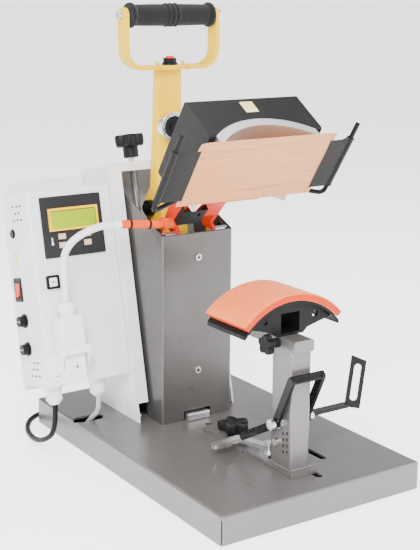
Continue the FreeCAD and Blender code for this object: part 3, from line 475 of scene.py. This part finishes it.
def slab(name, size, matrix, material, body, bevel=0.3, corner=0.0):
    """Thin plate or small block with rounded corners and softened edges, in mm.
    It is centred on the matrix; its corners round about the matrix's Z axis."""
    w, d, h = size
    corner = corner or min(w, d) * 0.08
    outline = []
    for cx, cy, start in ((1, 1, 0), (-1, 1, 90), (-1, -1, 180), (1, -1, 270)):
        for step in range(5):
            a = math.radians(start + 22.5 * step)
            outline.append((cx * (w / 2 - corner) + corner * math.cos(a),
                            cy * (d / 2 - corner) + corner * math.sin(a)))
    bevel = min(bevel, h * 0.45)
    levels = [(-h / 2, bevel), (-h / 2 + bevel * 0.3, bevel * 0.3), (-h / 2 + bevel, 0),
              (h / 2 - bevel, 0), (h / 2 - bevel * 0.3, bevel * 0.3), (h / 2, bevel)]
    verts, faces = [], []
    count = len(outline)
    for z, shrink in levels:
        fx, fy = 1 - 2 * shrink / w, 1 - 2 * shrink / d
        verts += [matrix @ mm(x * fx, y * fy, z) for x, y in outline]
    for level in range(len(levels) - 1):
        for k in range(count):
            l = (k + 1) % count
            faces.append((level * count + k, level * count + l,
                          (level + 1) * count + l, (level + 1) * count + k))
    faces.append(list(range(count)))
    faces.append(list(range((len(levels) - 1) * count, len(levels) * count)))
    return mesh_piece(name, verts, faces, [material], body)


def shape_plate(name, outline, thickness, matrix, material, body):
    """Thin flat mark of any (x, y) outline in mm, standing on the matrix's XY plane: print, or painted
    shade in a recess.
    """
    count = len(outline)
    verts = [matrix @ mm(x, y, z) for z in (0, thickness) for x, y in outline]
    faces = [list(range(count)), list(range(count, 2 * count))]
    faces += [(k, (k + 1) % count, count + (k + 1) % count, count + k) for k in range(count)]
    return mesh_piece(name, verts, faces, [material], body, smooth=False)


def frame_outline(w, h, line):
    """Outline of a rectangular frame w by h with a line that wide, cut once at a corner."""
    a, b = w / 2, h / 2
    c, d = a - line, b - line
    return [(-a, -b), (a, -b), (a, b), (-a, b), (-a, -b + 0.001), (-c, -d + 0.001), (-c, d), (c, d),
            (c, -d), (-c, -d)]


def arc(r, start, step, count):
    """Points round a circle, angles in degrees."""
    angles = [math.radians(start + step * k) for k in range(count)]
    return [(r * math.cos(a), r * math.sin(a)) for a in angles]


def cross(reach, half):
    """Outline of a cross whose arms reach that far and are two halves wide."""
    a, b = reach, half
    return [(b, b), (a, b), (a, -b), (b, -b), (b, -a), (-b, -a), (-b, -b), (-a, -b), (-a, b), (-b, b),
            (-b, a), (b, a)]


def spline(points, per_span=14):
    """Smooth curve with the same tangents as a clamped order-3 NURBS of these points."""
    out = []
    n = len(points)
    joints = [points[0]] + [(points[i] + points[i + 1]) / 2 for i in range(1, n - 2)] + [points[-1]]
    for i in range(1, n - 1):
        a, c, b = joints[i - 1], points[i], joints[i]
        for s in range(per_span):
            t = s / per_span
            out.append(a * (1 - t) ** 2 + c * (2 * t * (1 - t)) + b * t ** 2)
    out.append(points[-1])
    return out


def nurbs_cord(name, points, diameter, material):
    """Round cord on a clamped order-3 NURBS curve through the route's control points."""
    curve = bpy.data.curves.new(name, "CURVE")
    curve.dimensions = "3D"
    curve.bevel_depth = diameter * MM / 2
    curve.bevel_resolution = 5
    curve.use_fill_caps = True
    curve.resolution_u = 10
    line = curve.splines.new("NURBS")
    line.points.add(len(points) - 1)
    for point, place in zip(line.points, points):
        point.co = (*place, 1)
    line.order_u = 3
    line.use_endpoint_u = True
    curve.materials.append(MAT[material])
    obj = bpy.data.objects.new(name, curve)
    bpy.context.scene.collection.objects.link(obj)
    return obj


def to_mesh(obj):
    """Turn a curve object into a mesh object of the same name and material."""
    depsgraph = bpy.context.evaluated_depsgraph_get()
    mesh = bpy.data.meshes.new_from_object(obj.evaluated_get(depsgraph))
    name = obj.name
    bpy.data.objects.remove(obj)
    piece = bpy.data.objects.new(name, mesh)
    bpy.context.scene.collection.objects.link(piece)
    for polygon in mesh.polygons:
        polygon.use_smooth = True
    return piece


# ------------------------------------------------------------ camera, stage and light
camera_data = bpy.data.cameras.new("camera")
camera_data.sensor_width = 36.0
camera_data.lens = 76.99
camera_data.shift_x = 0.039
camera_data.shift_y = -0.0666
camera = bpy.data.objects.new("camera", camera_data)
camera.location = (-0.8472, -1.2431, 0.6112)
camera.rotation_euler = (math.radians(90 - 11.80), math.radians(-0.176), math.radians(-32.856))
bpy.context.scene.collection.objects.link(camera)
bpy.context.scene.camera = camera


def soft_light(name, place, target, size, power):
    data = bpy.data.lights.new(name, "AREA")
    data.shape = "RECTANGLE"
    data.size, data.size_y = size
    data.energy = power
    light = bpy.data.objects.new(name, data)
    light.location = place
    light.rotation_euler = (Vector(target) - Vector(place)).to_track_quat("-Z", "Y").to_euler()
    bpy.context.scene.collection.objects.link(light)


soft_light("key_light", (-1.3, -1.5, 1.9), (0, 0, 0.25), (1.2, 1.2), 125)
soft_light("fill_light", (1.8, -1.2, 1.1), (0, 0, 0.25), (1.2, 1.6), 34)
soft_light("top_light", (0.0, 0.4, 2.2), (0, 0, 0.2), (1.8, 1.8), 50)
world = bpy.data.worlds.new("studio")
world.use_nodes = True
sky = world.node_tree
direction = sky.nodes.new("ShaderNodeTexCoord")
height = sky.nodes.new("ShaderNodeSeparateXYZ")
glow = sky.nodes.new("ShaderNodeMapRange")
for socket, value in (("From Min", 0.06), ("From Max", 0.4), ("To Min", 2.6), ("To Max", 0.45)):
    glow.inputs[socket].default_value = value
sky.links.new(direction.outputs["Generated"], height.inputs["Vector"])
sky.links.new(height.outputs["Z"], glow.inputs["Value"])
sky.links.new(glow.outputs["Result"], sky.nodes["Background"].inputs["Strength"])
sky.nodes["Background"].inputs["Color"].default_value = (1.0, 1.0, 1.0, 1)
bpy.context.scene.world = world

floor_look = Nodes("studio_floor", (0.92, 0.92, 0.92), 0.7, Emission_Color=(1, 1, 1, 1),
                   Emission_Strength=1.8)
floor_look.colour(floor_look.noise(1.5, 2.0), [(0.3, (0.93, 0.93, 0.93)), (0.7, (0.96, 0.96, 0.96))])
MAT["floor"] = floor_look.mat
floor_mesh = bpy.data.meshes.new("floor")
floor_mesh.from_pydata([(-60, -60, 0), (60, -60, 0), (60, 60, 0), (-60, 60, 0)], [], [(0, 1, 2, 3)])
floor_mesh.materials.append(MAT["floor"])
floor = bpy.data.objects.new("floor", floor_mesh)
bpy.context.scene.collection.objects.link(floor)
floor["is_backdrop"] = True


# ------------------------------------------------------------ mains lead, coil and plug
coil_low, coil_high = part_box("mains_coil")
coil_middle = (coil_low + coil_high) / 2 / MM
R_OUT = (coil_high.x - coil_low.x) / 2 / MM - MAINS_D / 2
R_IN = R_OUT - MAINS_D
LAYER = [MAINS_D / 2 + 0.02 + MAINS_D * k for k in range(4)]
STEPS = 16                              # control points in one turn
SWAP = 2                                # points over which the cord changes place
# each turn's (radius, height); the swap to the next comes two points earlier every time
PLACES = [(R_OUT, LAYER[0]), (R_IN, LAYER[0]), (R_IN, LAYER[1]), (R_OUT, LAYER[1]),
          (R_OUT, LAYER[2]), (R_IN, LAYER[2]), (R_IN, LAYER[3])]
FIRST_SWAP = STEPS - 4


def coil_points():
    """Control points of six turns, from the front of the bottom layer to the front of the top."""
    widen = 1 / math.cos(math.pi / STEPS) ** 0.5
    points = []
    for i in range(1, 6 * STEPS):
        place = 0
        blend = 0.0
        for k in range(6):
            swap_end = FIRST_SWAP + k * (STEPS - SWAP)
            if i >= swap_end:
                place = k + 1
            elif i > swap_end - SWAP:
                blend = (i - swap_end + SWAP) / SWAP
                break
        r0, z0 = PLACES[place]
        r1, z1 = PLACES[min(place + 1, 6)]
        r = (r0 + (r1 - r0) * blend) * widen
        z = z0 + (z1 - z0) * blend
        a = -math.pi / 2 + 2 * math.pi * i / STEPS
        points.append(mm(coil_middle.x + r * math.cos(a), coil_middle.y + r * math.sin(a), z))
    return points


floor_z = MAINS_D / 2 + 0.02
mains_route = [on_box(-187, 24, -26), on_box(-188, 28, -62), mm(-193, 128, 15), mm(-190, 170, floor_z),
               mm(-180, 214, floor_z), mm(-152, 252, floor_z), mm(-102, 265, floor_z),
               mm(-46, 260.5, floor_z), mm(-8, coil_middle.y - R_OUT, floor_z),
               mm(coil_middle.x + 4, coil_middle.y - R_OUT, floor_z)]
plug_y = coil_middle.y - R_IN
plug_axis = Vector((math.cos(math.radians(7.2)), 0, -math.sin(math.radians(7.2))))
plug_start = mm(50, plug_y, 26)
lead_end = plug_start + plug_axis * 0.016
mains_points = mains_route + coil_points() + [mm(coil_middle.x + 4, plug_y, LAYER[3]), lead_end]
mains = nurbs_cord("mains_cord", mains_points, MAINS_D, "black_rubber")
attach(mains, "base")
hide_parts("mains_lead", "mains_coil")

plug_place = Matrix.Translation(plug_start) @ Matrix.Rotation(math.radians(97.2), 4, "Y")
sleeve_profile = [(3.7, 4.0)]
for rib in range(6):
    z = 6.0 + rib * 4.2
    r = 4.7 + 0.38 * rib
    sleeve_profile += [(r - 0.6, z - 0.6), (r, z), (r, z + 2.0), (r - 0.6, z + 2.6)]
plug_profile = sleeve_profile + [
    (7.4, 30.5), (9.5, 31.0), (13.0, 34.5), (16.2, 39.0), (17.4, 42.5), (17.8, 46.0), (17.0, 47.0),
    (17.0, 49.0), (17.8, 50.0), (17.0, 51.2), (17.0, 53.2), (17.8, 54.2), (17.9, 62.0), (17.2, 63.6),
    (16.0, 64.0), (14.5, 64.0), (14.5, 63.4), (0.5, 63.4)]
plug = lathe("plug_body", [(0.5, 4.0)] + plug_profile, plug_place, "black_plastic", "base")
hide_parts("mains_plug")
for side in (-1, 1):
    place = plug_place @ Matrix.Translation((0, side * 0.0095, 0.0634))
    pin_profile = [(0.4, -0.5), (2.4, -0.5), (2.4, 16.5), (2.2, 18.0), (1.4, 19.2), (0.4, 19.5)]
    pin = lathe("plug_pin_%d" % (side + 2), pin_profile, place, "zinc", "base", 28)

# ------------------------------------------------------------ heater lead
heater_route = [on_box(-173, -16.5, 109), mm(-172.5, 97, 241), mm(-181, 84, 291), mm(-142, 70, 317),
                mm(-94, 63, 316), mm(-45.7, 61, 310.5)]
heater_path = spline(heater_route)
heater = to_mesh(nurbs_cord("heater_cord", heater_route, LEAD_D, "braid"))
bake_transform(heater)
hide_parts("heater_lead")


def tail_of(path, length):
    """The last stretch of a path, of that length in mm."""
    points, total = [path[-1]], 0.0
    for a, b in zip(path[::-1], path[-2::-1]):
        total += (a - b).length / MM
        points.append(b)
        if total > length:
            break
    return points[::-1]


sleeve_path = tail_of(heater_path, 62.0)
verts, faces = ring_sweep(sleeve_path, circle(5.5 * MM, 28))
lead_cover = mesh_piece("lead_cover", verts, faces, ["silicone"])
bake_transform(lead_cover)
cuff_path = tail_of(heater_path, 66.5)[:3]
verts, faces = ring_sweep(cuff_path, circle(6.0 * MM, 28))
lead_cuff = mesh_piece("lead_cuff", verts, faces, ["white_plastic"])
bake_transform(lead_cuff)

# ------------------------------------------------------------ wiring into the base
conduit_route = [on_box(-121, 24, -26), on_box(-122, 25, -46), mm(-125, 116, 40), mm(-128, 130, 24)]
conduit = nurbs_cord("base_conduit", conduit_route, CONDUIT_D, "conduit")
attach(conduit, "base")
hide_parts("base_wiring")


# ------------------------------------------------------------ press pad
def make_pad():
    """Silicone sponge slab on the curved holder: rounded edges, sides that belly out a little."""
    low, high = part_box("press_pad")
    y0, y1 = low.y, high.y
    r_out, r_in, centre_z = 0.103, 0.093, 0.156
    half_angle = math.asin(0.074 / r_out)
    n_arc, n_len, n_side = 56, 28, 7
    loop = []
    soft = 0.0011
    for i in range(n_len + 1):
        loop.append((i / n_len, 1.0))
    for i in range(1, n_side):
        loop.append((1.0, 1 - i / n_side))
    for i in range(n_len + 1):
        loop.append((1 - i / n_len, 0.0))
    for i in range(1, n_side):
        loop.append((0.0, i / n_side))
    verts, faces = [], []
    m = len(loop)
    for a in range(n_arc + 1):
        s = 2 * a / n_arc - 1
        end = max(0.0, (abs(s) - 0.985) / 0.015)
        angle = s * half_angle
        for u, v in loop:
            edge_u = max(0.0, abs(2 * u - 1) - 0.97) / 0.03
            edge_v = max(0.0, abs(2 * v - 1) - 0.8) / 0.2
            pull = soft * (1 - math.cos(min(1.0, max(edge_u * edge_v, end * edge_v)) * math.pi / 2))
            belly = 0.0005 * math.sin(math.pi * v) if u in (0.0, 1.0) else 0.0
            r = r_in + (r_out - r_in) * v - (pull if v > 0.5 else -pull)
            r += 0.00025 * noise.noise(Vector((s * 3, u * 2, v)))
            y = y0 + (y1 - y0) * u + (belly if u == 1.0 else -belly) * 0.9
            y += pull * (1 if u < 0.5 else -1) * (1 if edge_u > 0 else 0)
            t = angle * (1 - end * 0.004 * abs(2 * v - 1))
            verts.append((r * math.sin(t), y, centre_z + r * math.cos(t)))
    for a in range(n_arc):
        for k in range(m):
            l = (k + 1) % m
            faces.append((a * m + k, a * m + l, (a + 1) * m + l, (a + 1) * m + k))
    faces.append(list(range(m)))
    faces.append(list(range(n_arc * m, (n_arc + 1) * m)))
    pad = mesh_piece("sponge_pad", verts, faces, ["pad", "pad_side_shaded"], "carriage")
    # faces along the arc get the skin; the sides get the darker edge colour, which is partly painted shade
    for polygon in pad.data.polygons:
        radial = Vector((polygon.center.x, 0, polygon.center.z - centre_z)).normalized()
        polygon.material_index = 0 if abs(polygon.normal.dot(radial)) > 0.7 else 1
    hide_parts("press_pad")


make_pad()


# ------------------------------------------------------------ foam grip
def make_grip():
    half = 65.0
    profile = [(4.3, -half), (14.6, -half), (16.0, -half + 0.5), (16.6, -half + 1.8),
               (16.7, -half + 4.0), (16.2, -half + 5.6), (14.9, -half + 6.8), (14.2, -half + 8.5)]
    x = -half + 9.0
    while x < half - 8.5:
        swell = 13.7 + 0.8 * math.cos(x / half * math.pi / 2)
        rib = 0.0
        for centre in (-7.0, 0.0, 7.0):
            rib = max(rib, 1.35 * max(0.0, 1 - ((x - centre) / 2.3) ** 2) ** 0.5)
        profile.append((swell + rib, x))
        x += 0.45
    profile += [(r, -z) for r, z in profile[7::-1]]
    turn = Matrix.Translation(GRIP) @ Matrix.Rotation(math.pi / 2, 4, "Y")
    grip = lathe("grip_foam", profile, turn, "foam", "lever", 96, 0.25)
    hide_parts("foam_grip")


make_grip()


# ------------------------------------------------------------ release sheet and elastic bands
SHEET_FRONT, SHEET_T = 0.5, 0.28        # front edge of the sheet and its thickness
HEM_FRONT, HEM_L, HEM_W, HEM_T = 0.6, 99.8, 7.0, 0.22
HEM_STEPS = 40
STITCH_FIRST, STITCH_STEP, STITCH_L, STITCH_R = 3.0, 3.6, 2.2, 0.28
STRAP_FRONT, STRAP_L = 13.0, 78.0       # elastic strap along the rod
STRAP_R = 4.5                           # its loop round the rod, to the outside


def sheet_height(x, y):
    """Height of the sheet in head mm: slight waves and a lifted front left corner."""
    wave = 0.35 * noise.noise(Vector((x * 0.02, y * 0.035, 3.1))) + 0.15 * math.sin(y * 0.11 + x * 0.01)
    corner = max(0.0, 1 - math.hypot(x + SHEET_W / 2, y - 1.0) / 16.0)
    return SHEET_Z - 0.1 + wave - 2.2 * corner ** 2


def make_sheet_half(side):
    """One half of the sheet; the two meet at the middle, where they follow the platen."""
    n_x, n_y = 52, 40
    verts, faces = [], []
    for layer in (0, 1):
        for j in range(n_y + 1):
            for i in range(n_x + 1):
                x = side * SHEET_W / 2 * i / n_x
                y = SHEET_FRONT + SHEET_D * j / n_y
                verts.append(head(x, y, sheet_height(x, y) + layer * SHEET_T))
    row = n_x + 1
    size = row * (n_y + 1)
    for j in range(n_y):
        for i in range(n_x):
            a = j * row + i
            faces.append((a, a + 1, a + row + 1, a + row))
            faces.append((size + a, size + a + row, size + a + row + 1, size + a + 1))
    rim = [i for i in range(row)] + [j * row + n_x for j in range(1, n_y + 1)]
    rim += [n_y * row + i for i in range(n_x - 1, -1, -1)] + [j * row for j in range(n_y - 1, 0, -1)]
    for a, b in zip(rim, rim[1:] + rim[:1]):
        faces.append((a, b, size + b, size + a))
    name = "left" if side < 0 else "right"
    half = mesh_piece("sheet_" + name, verts, faces, ["cloth"])
    edge = side * SHEET_W / 2
    hem_verts, hem_faces = [], []
    for k in range(HEM_STEPS + 1):
        y = HEM_FRONT + HEM_L * k / HEM_STEPS
        for x in (edge, edge - side * HEM_W):
            for lift in (-HEM_T, 0.0):
                hem_verts.append(head(x, y, sheet_height(x, y) + lift))
    for k in range(HEM_STEPS):
        p, q = 4 * k, 4 * (k + 1)
        hem_faces += [(p, q, q + 2, p + 2), (p + 1, p + 3, q + 3, q + 1), (p, p + 1, q + 1, q),
                      (p + 2, q + 2, q + 3, p + 3)]
    last = 4 * HEM_STEPS
    hem_faces += [(0, 2, 3, 1), (last, last + 1, last + 3, last + 2)]
    hem = mesh_piece("hem_" + name, hem_verts, hem_faces, ["cloth"])
    stitch_verts, stitch_faces = [], []
    for k in range(27):
        y = STITCH_FIRST + k * STITCH_STEP
        x = edge - side * 5.2
        a = head(x, y, sheet_height(x, y) - 0.3)
        b = head(x, y + STITCH_L, sheet_height(x, y + STITCH_L) - 0.3)
        middle = (a + b) / 2 + (head(0, 0, -0.25) - head(0, 0, 0))
        v, f = ring_sweep([a, middle, b], circle(STITCH_R * MM, 6))
        stitch_faces += [[i + len(stitch_verts) for i in face] for face in f]
        stitch_verts += v
    stitches = mesh_piece("stitches_" + name, stitch_verts, stitch_faces, ["thread"])
    for piece in (half, hem, stitches):
        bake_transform(piece)
    if side < 0:
        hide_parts("release_sheet")


def make_band(side):
    """Elastic band: a tube round the rod, flattened into a strap sewn to the sheet's edge."""
    outline = []
    for k in range(19):
        a = math.radians(150 - 300 * k / 18)
        outline.append((ROD_X + STRAP_R * math.cos(a), ROD_Z + STRAP_R * math.sin(a)))
    edge_x = SHEET_W / 2 - 5.0
    lower, upper = SHEET_Z - 1.3, SHEET_Z + 0.5
    reach = 10
    bottom = [(outline[-1][0] + (edge_x - outline[-1][0]) * t / reach,
               outline[-1][1] + (lower + 0.6 - outline[-1][1]) * min(1, 2.2 * t / reach) ** 0.6)
              for t in range(1, reach + 1)]
    top = [(edge_x + (outline[0][0] - edge_x) * t / reach,
            upper + (outline[0][1] - upper) * max(0, 1 - 2.2 * (1 - t / reach)) ** 1.6)
           for t in range(0, reach)]
    section = outline + bottom + top
    n_y = 44
    m = len(section)
    verts, faces = [], []
    for j in range(n_y + 1):
        y = STRAP_FRONT + STRAP_L * j / n_y
        for k, (x, z) in enumerate(section):
            ripple = 0.25 * noise.noise(Vector((x * 0.12, y * 0.22, side)))
            gather = 0.5 * math.sin(y * 0.6) * max(0.0, 1 - abs(x - 123) / 7)
            verts.append(head(side * x, y, z + ripple + gather * 0.4))
    for j in range(n_y):
        for k in range(m):
            l = (k + 1) % m
            faces.append((j * m + k, j * m + l, (j + 1) * m + l, (j + 1) * m + k))
    faces.append(list(range(m)))
    faces.append(list(range(n_y * m, (n_y + 1) * m)))
    name = "left" if side < 0 else "right"
    band = mesh_piece("elastic_" + name, verts, faces, ["elastic"], "arm")
    if side < 0:
        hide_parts("elastic_bands")
    rim_verts, rim_faces = [], []
    for y in (STRAP_FRONT + 0.6, STRAP_FRONT + STRAP_L - 0.6):
        path = [head(side * x, y, z) for x, z in outline]
        v, f = ring_sweep(path, circle(0.7 * MM, 8))
        rim_faces += [[i + len(rim_verts) for i in face] for face in f]
        rim_verts += v
    mesh_piece("elastic_rim_" + name, rim_verts, rim_faces, ["elastic"], "arm")


for side in (-1, 1):
    make_sheet_half(side)
    make_band(side)


# ------------------------------------------------------------ hand knobs
def star_knob(name, matrix, lobes, r_tip, r_waist, low, high, dish, neck, body, node, pin=None):
    """Moulded star knob: rounded lobes, a dished top with a hub, and a neck below it."""
    segments = 24 * lobes
    h = high - low
    rings = [(0.0, high - dish), (0.24, high - dish), (0.30, high - dish * 0.7), (0.55, high - dish * 0.75),
             (0.80, high - dish * 0.25), (0.92, high), (0.985, high - h * 0.10), (1.0, high - h * 0.3),
             (1.0, low + h * 0.38), (0.97, low + h * 0.16), (0.88, low + h * 0.02), (0.72, low + h * 0.05)]
    neck_r, neck_low = neck
    verts, faces = [], []
    for i in range(segments):
        a = 2 * math.pi * i / segments
        lobe = 0.5 + 0.5 * math.cos(lobes * a)
        lobe = lobe ** 0.75
        for f, z in rings:
            r = f * (r_waist + (r_tip - r_waist) * lobe) if f > 0.45 else f * r_waist
            verts.append(matrix @ mm(r * math.cos(a), r * math.sin(a), z))
        for f, z in ((neck_r * 1.18, low + h * 0.02), (neck_r, low - 1.0), (neck_r, neck_low + 0.8),
                     (neck_r - 0.8, neck_low)):
            verts.append(matrix @ mm(f * math.cos(a), f * math.sin(a), z))
    m = len(rings) + 4
    for i in range(segments):
        j = (i + 1) % segments
        for k in range(m - 1):
            if k == 0:
                faces.append((i * m, i * m + 1, j * m + 1))
            else:
                faces.append((i * m + k, i * m + k + 1, j * m + k + 1, j * m + k))
    faces.append([i * m + m - 1 for i in range(segments)])
    for i in range(segments):
        verts[i * m] = matrix @ mm(0, 0, high - dish)
    knob = mesh_piece(name, verts, faces, ["knob"], body)
    bm = bmesh.new()
    bm.from_mesh(knob.data)
    bmesh.ops.remove_doubles(bm, verts=bm.verts, dist=1e-7)
    bm.to_mesh(knob.data)
    bm.free()
    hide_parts(node)
    if pin:
        r, z0, z1 = pin
        lathe(name + "_stud", [(0.3, z0), (r - 0.5, z0), (r, z0 + 0.6), (r, z1), (0.3, z1)], matrix,
              "zinc", body, 32)
    return knob


star_knob("top_knob", KNOB, 6, 23.0, 17.5, -8.0, 9.0, 3.0, (11.0, -24.0), "pressure_screw",
          "pressure_knob")
RAIL_KNOB = Matrix.Translation(mm(0, -45, RAIL_TOP + 5.3))
star_knob("carriage_knob", RAIL_KNOB, 5, 22.0, 13.0, 0.0, 12.0, 2.2, (9.0, -5.0), "rail_clamp", "rail_knob",
          (3.9, -19.0, -4.0))
BEAM_KNOB = Matrix.Translation(mm(-27, -157, POST_TOP + 7.5)) @ Matrix.Rotation(-math.pi / 2, 4, "Y")
star_knob("side_knob", BEAM_KNOB, 5, 13.0, 9.5, 0.0, 10.0, 1.5, (6.0, -11.5), "beam_clamp", "beam_knob",
          (3.9, -16.5, -10.0))

# ------------------------------------------------------------ control box details
PANEL_FACE, LCD_FACE, KEY_FACE = -1.5, -3.3, -3.2      # how far they stand out of the box
# the two dark strips on the window's top and right edges are painted shade from the bezel's lip, not
# segments
for name, size, x, up, lift, look, round_r in (
        ("lcd_window", (66.4, 23.4, 0.6), -140.5, 218.0, 0.0, "lcd", 0.8),
        ("lcd_shade_top", (66.4, 1.0, 0.8), -140.5, 229.2, 0.1, "lcd_shade", 0.0),
        ("lcd_shade_side", (1.0, 22.2, 0.8), -107.9, 217.5, 0.1, "lcd_shade", 0.0)):
    slab(name, size, front_wall(x, up, LCD_FACE - lift), look, "base", 0.1, round_r)
PRINT_T = 0.12                          # thickness of printed marks
KEY_CENTRES = [(-160.0, 195.5, "a"), (-160.0, 184.0, "b"), (-123.0, 195.5, "c"), (-123.0, 184.0, "d")]
for number, (x, up, letter) in enumerate(KEY_CENTRES, 1):
    face = front_wall(x, up, KEY_FACE)
    body, slot = "key_" + letter, "key_%d" % number
    shape_plate("key_frame_" + letter, frame_outline(8.6, 5.8, 0.7), PRINT_T, face, "print_orange", body)
    tip = 1.5 if letter in "ac" else -1.5
    arrow = [(-1.9, -tip * 0.6), (0, tip), (1.9, -tip * 0.6), (1.9, -tip * 0.2), (0, tip * 1.35),
             (-1.9, -tip * 0.2)]
    if tip < 0:
        arrow.reverse()
    shape_plate("key_arrow_" + letter, arrow, PRINT_T, face, "print_orange", body)
icon = arc(1.7, 120, 25, 13) + [(0.8, 8.0), (0.3, 8.7), (-0.3, 8.7), (-0.8, 8.0)]
shape_plate("icon_scale", icon, 0.1, front_wall(-174.5, 186.5, PANEL_FACE), "print_white", "base")
dial = arc(2.4, 0, 18, 20) + arc(1.9, 0, -18, 20)
shape_plate("icon_timer", dial, 0.1, front_wall(-136.5, 189.5, PANEL_FACE), "print_white", "base")
slab("port_insert", (11.4, 11.4, 1.2), front_wall(-181, 137, -2.6), "white_plastic", "base",
     0.2)
# the port's hole is a flat black disc of painted shade on the insert's face
lathe("port_hole_shade", [(0.1, 0.0), (1.3, 0.0), (1.3, 0.25), (0.1, 0.25)], front_wall(-181, 137, -3.2),
      "black_plastic", "base", 24)
for name, back, up, w, h, look in (("label_switch", 60, 154, 15, 9, "print_white"),
                                   ("label_fuse_1", 52, 69.5, 13, 8, "print_white"),
                                   ("label_fuse_2", 52, 32.0, 13, 6, "print_white"),
                                   ("label_side", 56, 172, 13, 20, "label")):
    slab(name, (w, h, 0.2), left_wall(back, up, BOX_LEFT - 0.1), look, "base", 0.05, 0.8)
for back, up in ((52.0, 88.0), (52.0, 50.0)):
    place = left_wall(back, up, BOX_LEFT - 10.0)
    slot_mark = [(-4.5, -0.7), (4.5, -0.7), (4.5, 0.7), (-4.5, 0.7)]
    shape_plate("fuse_slot_%d" % up, slot_mark, 0.1, place, "print_grey", "base")
    ribs = [(7.05, 1.0), (7.5, 1.3), (7.5, 4.2), (7.05, 4.5)]
    lathe("fuse_grip_%d" % up, [(0.5, 1.0)] + ribs + [(0.5, 4.5)],
          place @ Matrix.Translation((0, 0, -0.008)), "black_plastic", "base", 40)
lathe("buzzer_ring", [(2.0, -0.1), (5.0, -0.1), (5.3, 0.4), (4.6, 0.9), (3.6, 0.5), (2.0, 0.4)],
      left_wall(57, 206, BOX_LEFT - 2.0), "gloss_black", "base", 48)


def cross_screw(name, matrix, r, material, body):
    """Pan head screw sitting on the matrix's XY plane; its cross recess is a dark plate of painted shade.
    """
    lathe(name, [(0.2, -0.3), (r, -0.3), (r, 0.25 * r), (0.85 * r, 0.5 * r), (0.5 * r, 0.66 * r),
                 (0.2, 0.7 * r)], matrix, material, body, 40)
    top = matrix @ Matrix.Translation((0, 0, 0.68 * r * MM))
    shape_plate(name + "_cross_shade", cross(0.62 * r, 0.16 * r), 0.12, top, "dark", body)


cross_screw("plug_screw", front_wall(-173, 25, -26.2), 2.6, "zinc", "base")
cross_screw("socket_screw_1", front_wall(-192, 14, -4.0), 2.2, "zinc", "base")
cross_screw("socket_screw_2", front_wall(-154, 34, -4.0), 2.2, "zinc", "base")
# dark cross plates on the case: painted shade standing in for cross recesses
for z in (106.0, 264.0):
    place = Matrix.Translation(mm(0, 40.4, z)) @ Matrix.Rotation(math.pi / 2, 4, "X")
    shape_plate("case_recess_%d" % z, cross(3.0, 0.7), 0.5, place, "dark", "base")

# head label and the small cover plug on the housing's top edge
head_front = HEAD @ Matrix.Translation(mm(0.5, 0, -17.5)) @ Matrix.Rotation(math.pi / 2, 4, "X")
slab("head_label", (19.0, 20.0, 0.2), head_front, "label", "arm", 0.05, 1.5)
shape_plate("head_label_mark", frame_outline(12.0, 11.0, 1.0), 0.1,
            head_front @ Matrix.Translation(mm(0, 1.0, 0.1)), "print_yellow", "arm")
lathe("housing_plug", [(0.3, -0.5), (5.0, -0.5), (5.0, 1.4), (4.2, 2.6), (2.5, 3.2), (0.3, 3.4)],
      HEAD @ Matrix.Translation(mm(-48, 10, 0)), "black_plastic", "arm", 40)

# return springs wound round the lever shaft
SHAFT_Y, SHAFT_Z = 60, 263
WIRE_R, COIL_R, COIL_TURNS = 1.2, 8.0, 5
COIL_START, COIL_END = 33.4, 45.6       # distance of the winding's ends from the middle
for sign, name in ((-1, "return_spring_left"), (1, "return_spring_right")):
    path = [mm(sign * COIL_START, SHAFT_Y + 26, SHAFT_Z - COIL_R * 0.9)]
    for k in range(COIL_TURNS * 24 + 1):
        a = math.radians(-90 + 15 * k)
        x = COIL_START + (COIL_END - COIL_START) * k / (COIL_TURNS * 24)
        path.append(mm(sign * x, SHAFT_Y + COIL_R * math.cos(a), SHAFT_Z + COIL_R * math.sin(a)))
    path.append(mm(sign * COIL_END, SHAFT_Y + 20, SHAFT_Z - COIL_R * 0.95))
    verts, faces = ring_sweep(path, circle(WIRE_R * MM, 10))
    spring = mesh_piece(name, verts, faces, ["spring"], "base")
    if sign < 0:
        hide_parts("return_springs")

# weld seams
W, Y0, Y1 = 15.3, -185.0, -143.4
foot = [mm(-W, Y0, RAIL_TOP + 0.6), mm(W, Y0, RAIL_TOP + 0.6), mm(W, Y1, RAIL_TOP + 0.6),
        mm(-W, Y1, RAIL_TOP + 0.6), mm(-W, Y0, RAIL_TOP + 0.6)]
bead("weld_post_foot", foot, 1.6, "grey", "carriage")
for sign in (-1, 1):
    bead("weld_lever_%d" % (sign + 2), [mm(sign * 20.3, 96, 512), mm(sign * 20.3, 118, 520)], 1.4, "yellow",
         "lever")

# cable ties round the heat-proof sleeve
for count, reach in ((1, 14.0), (2, 44.0)):
    stretch = tail_of(heater_path, reach)
    centre, heading = stretch[0], (stretch[0] - stretch[1]).normalized()
    place = Matrix.Translation(centre) @ heading.to_track_quat("Z", "Y").to_matrix().to_4x4()
    profile = [(5.3, -1.3), (6.3, -1.3), (6.5, -1.0), (6.5, 1.0), (6.3, 1.3), (5.3, 1.3)]
    tie = lathe("cable_tie_%d" % count, profile, place, "black_plastic", None, 40)
    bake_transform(tie)

# ------------------------------------------------------------ finish
size = {"cad": [list(p) for p in cad_box], "visual": [list(p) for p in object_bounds()]}
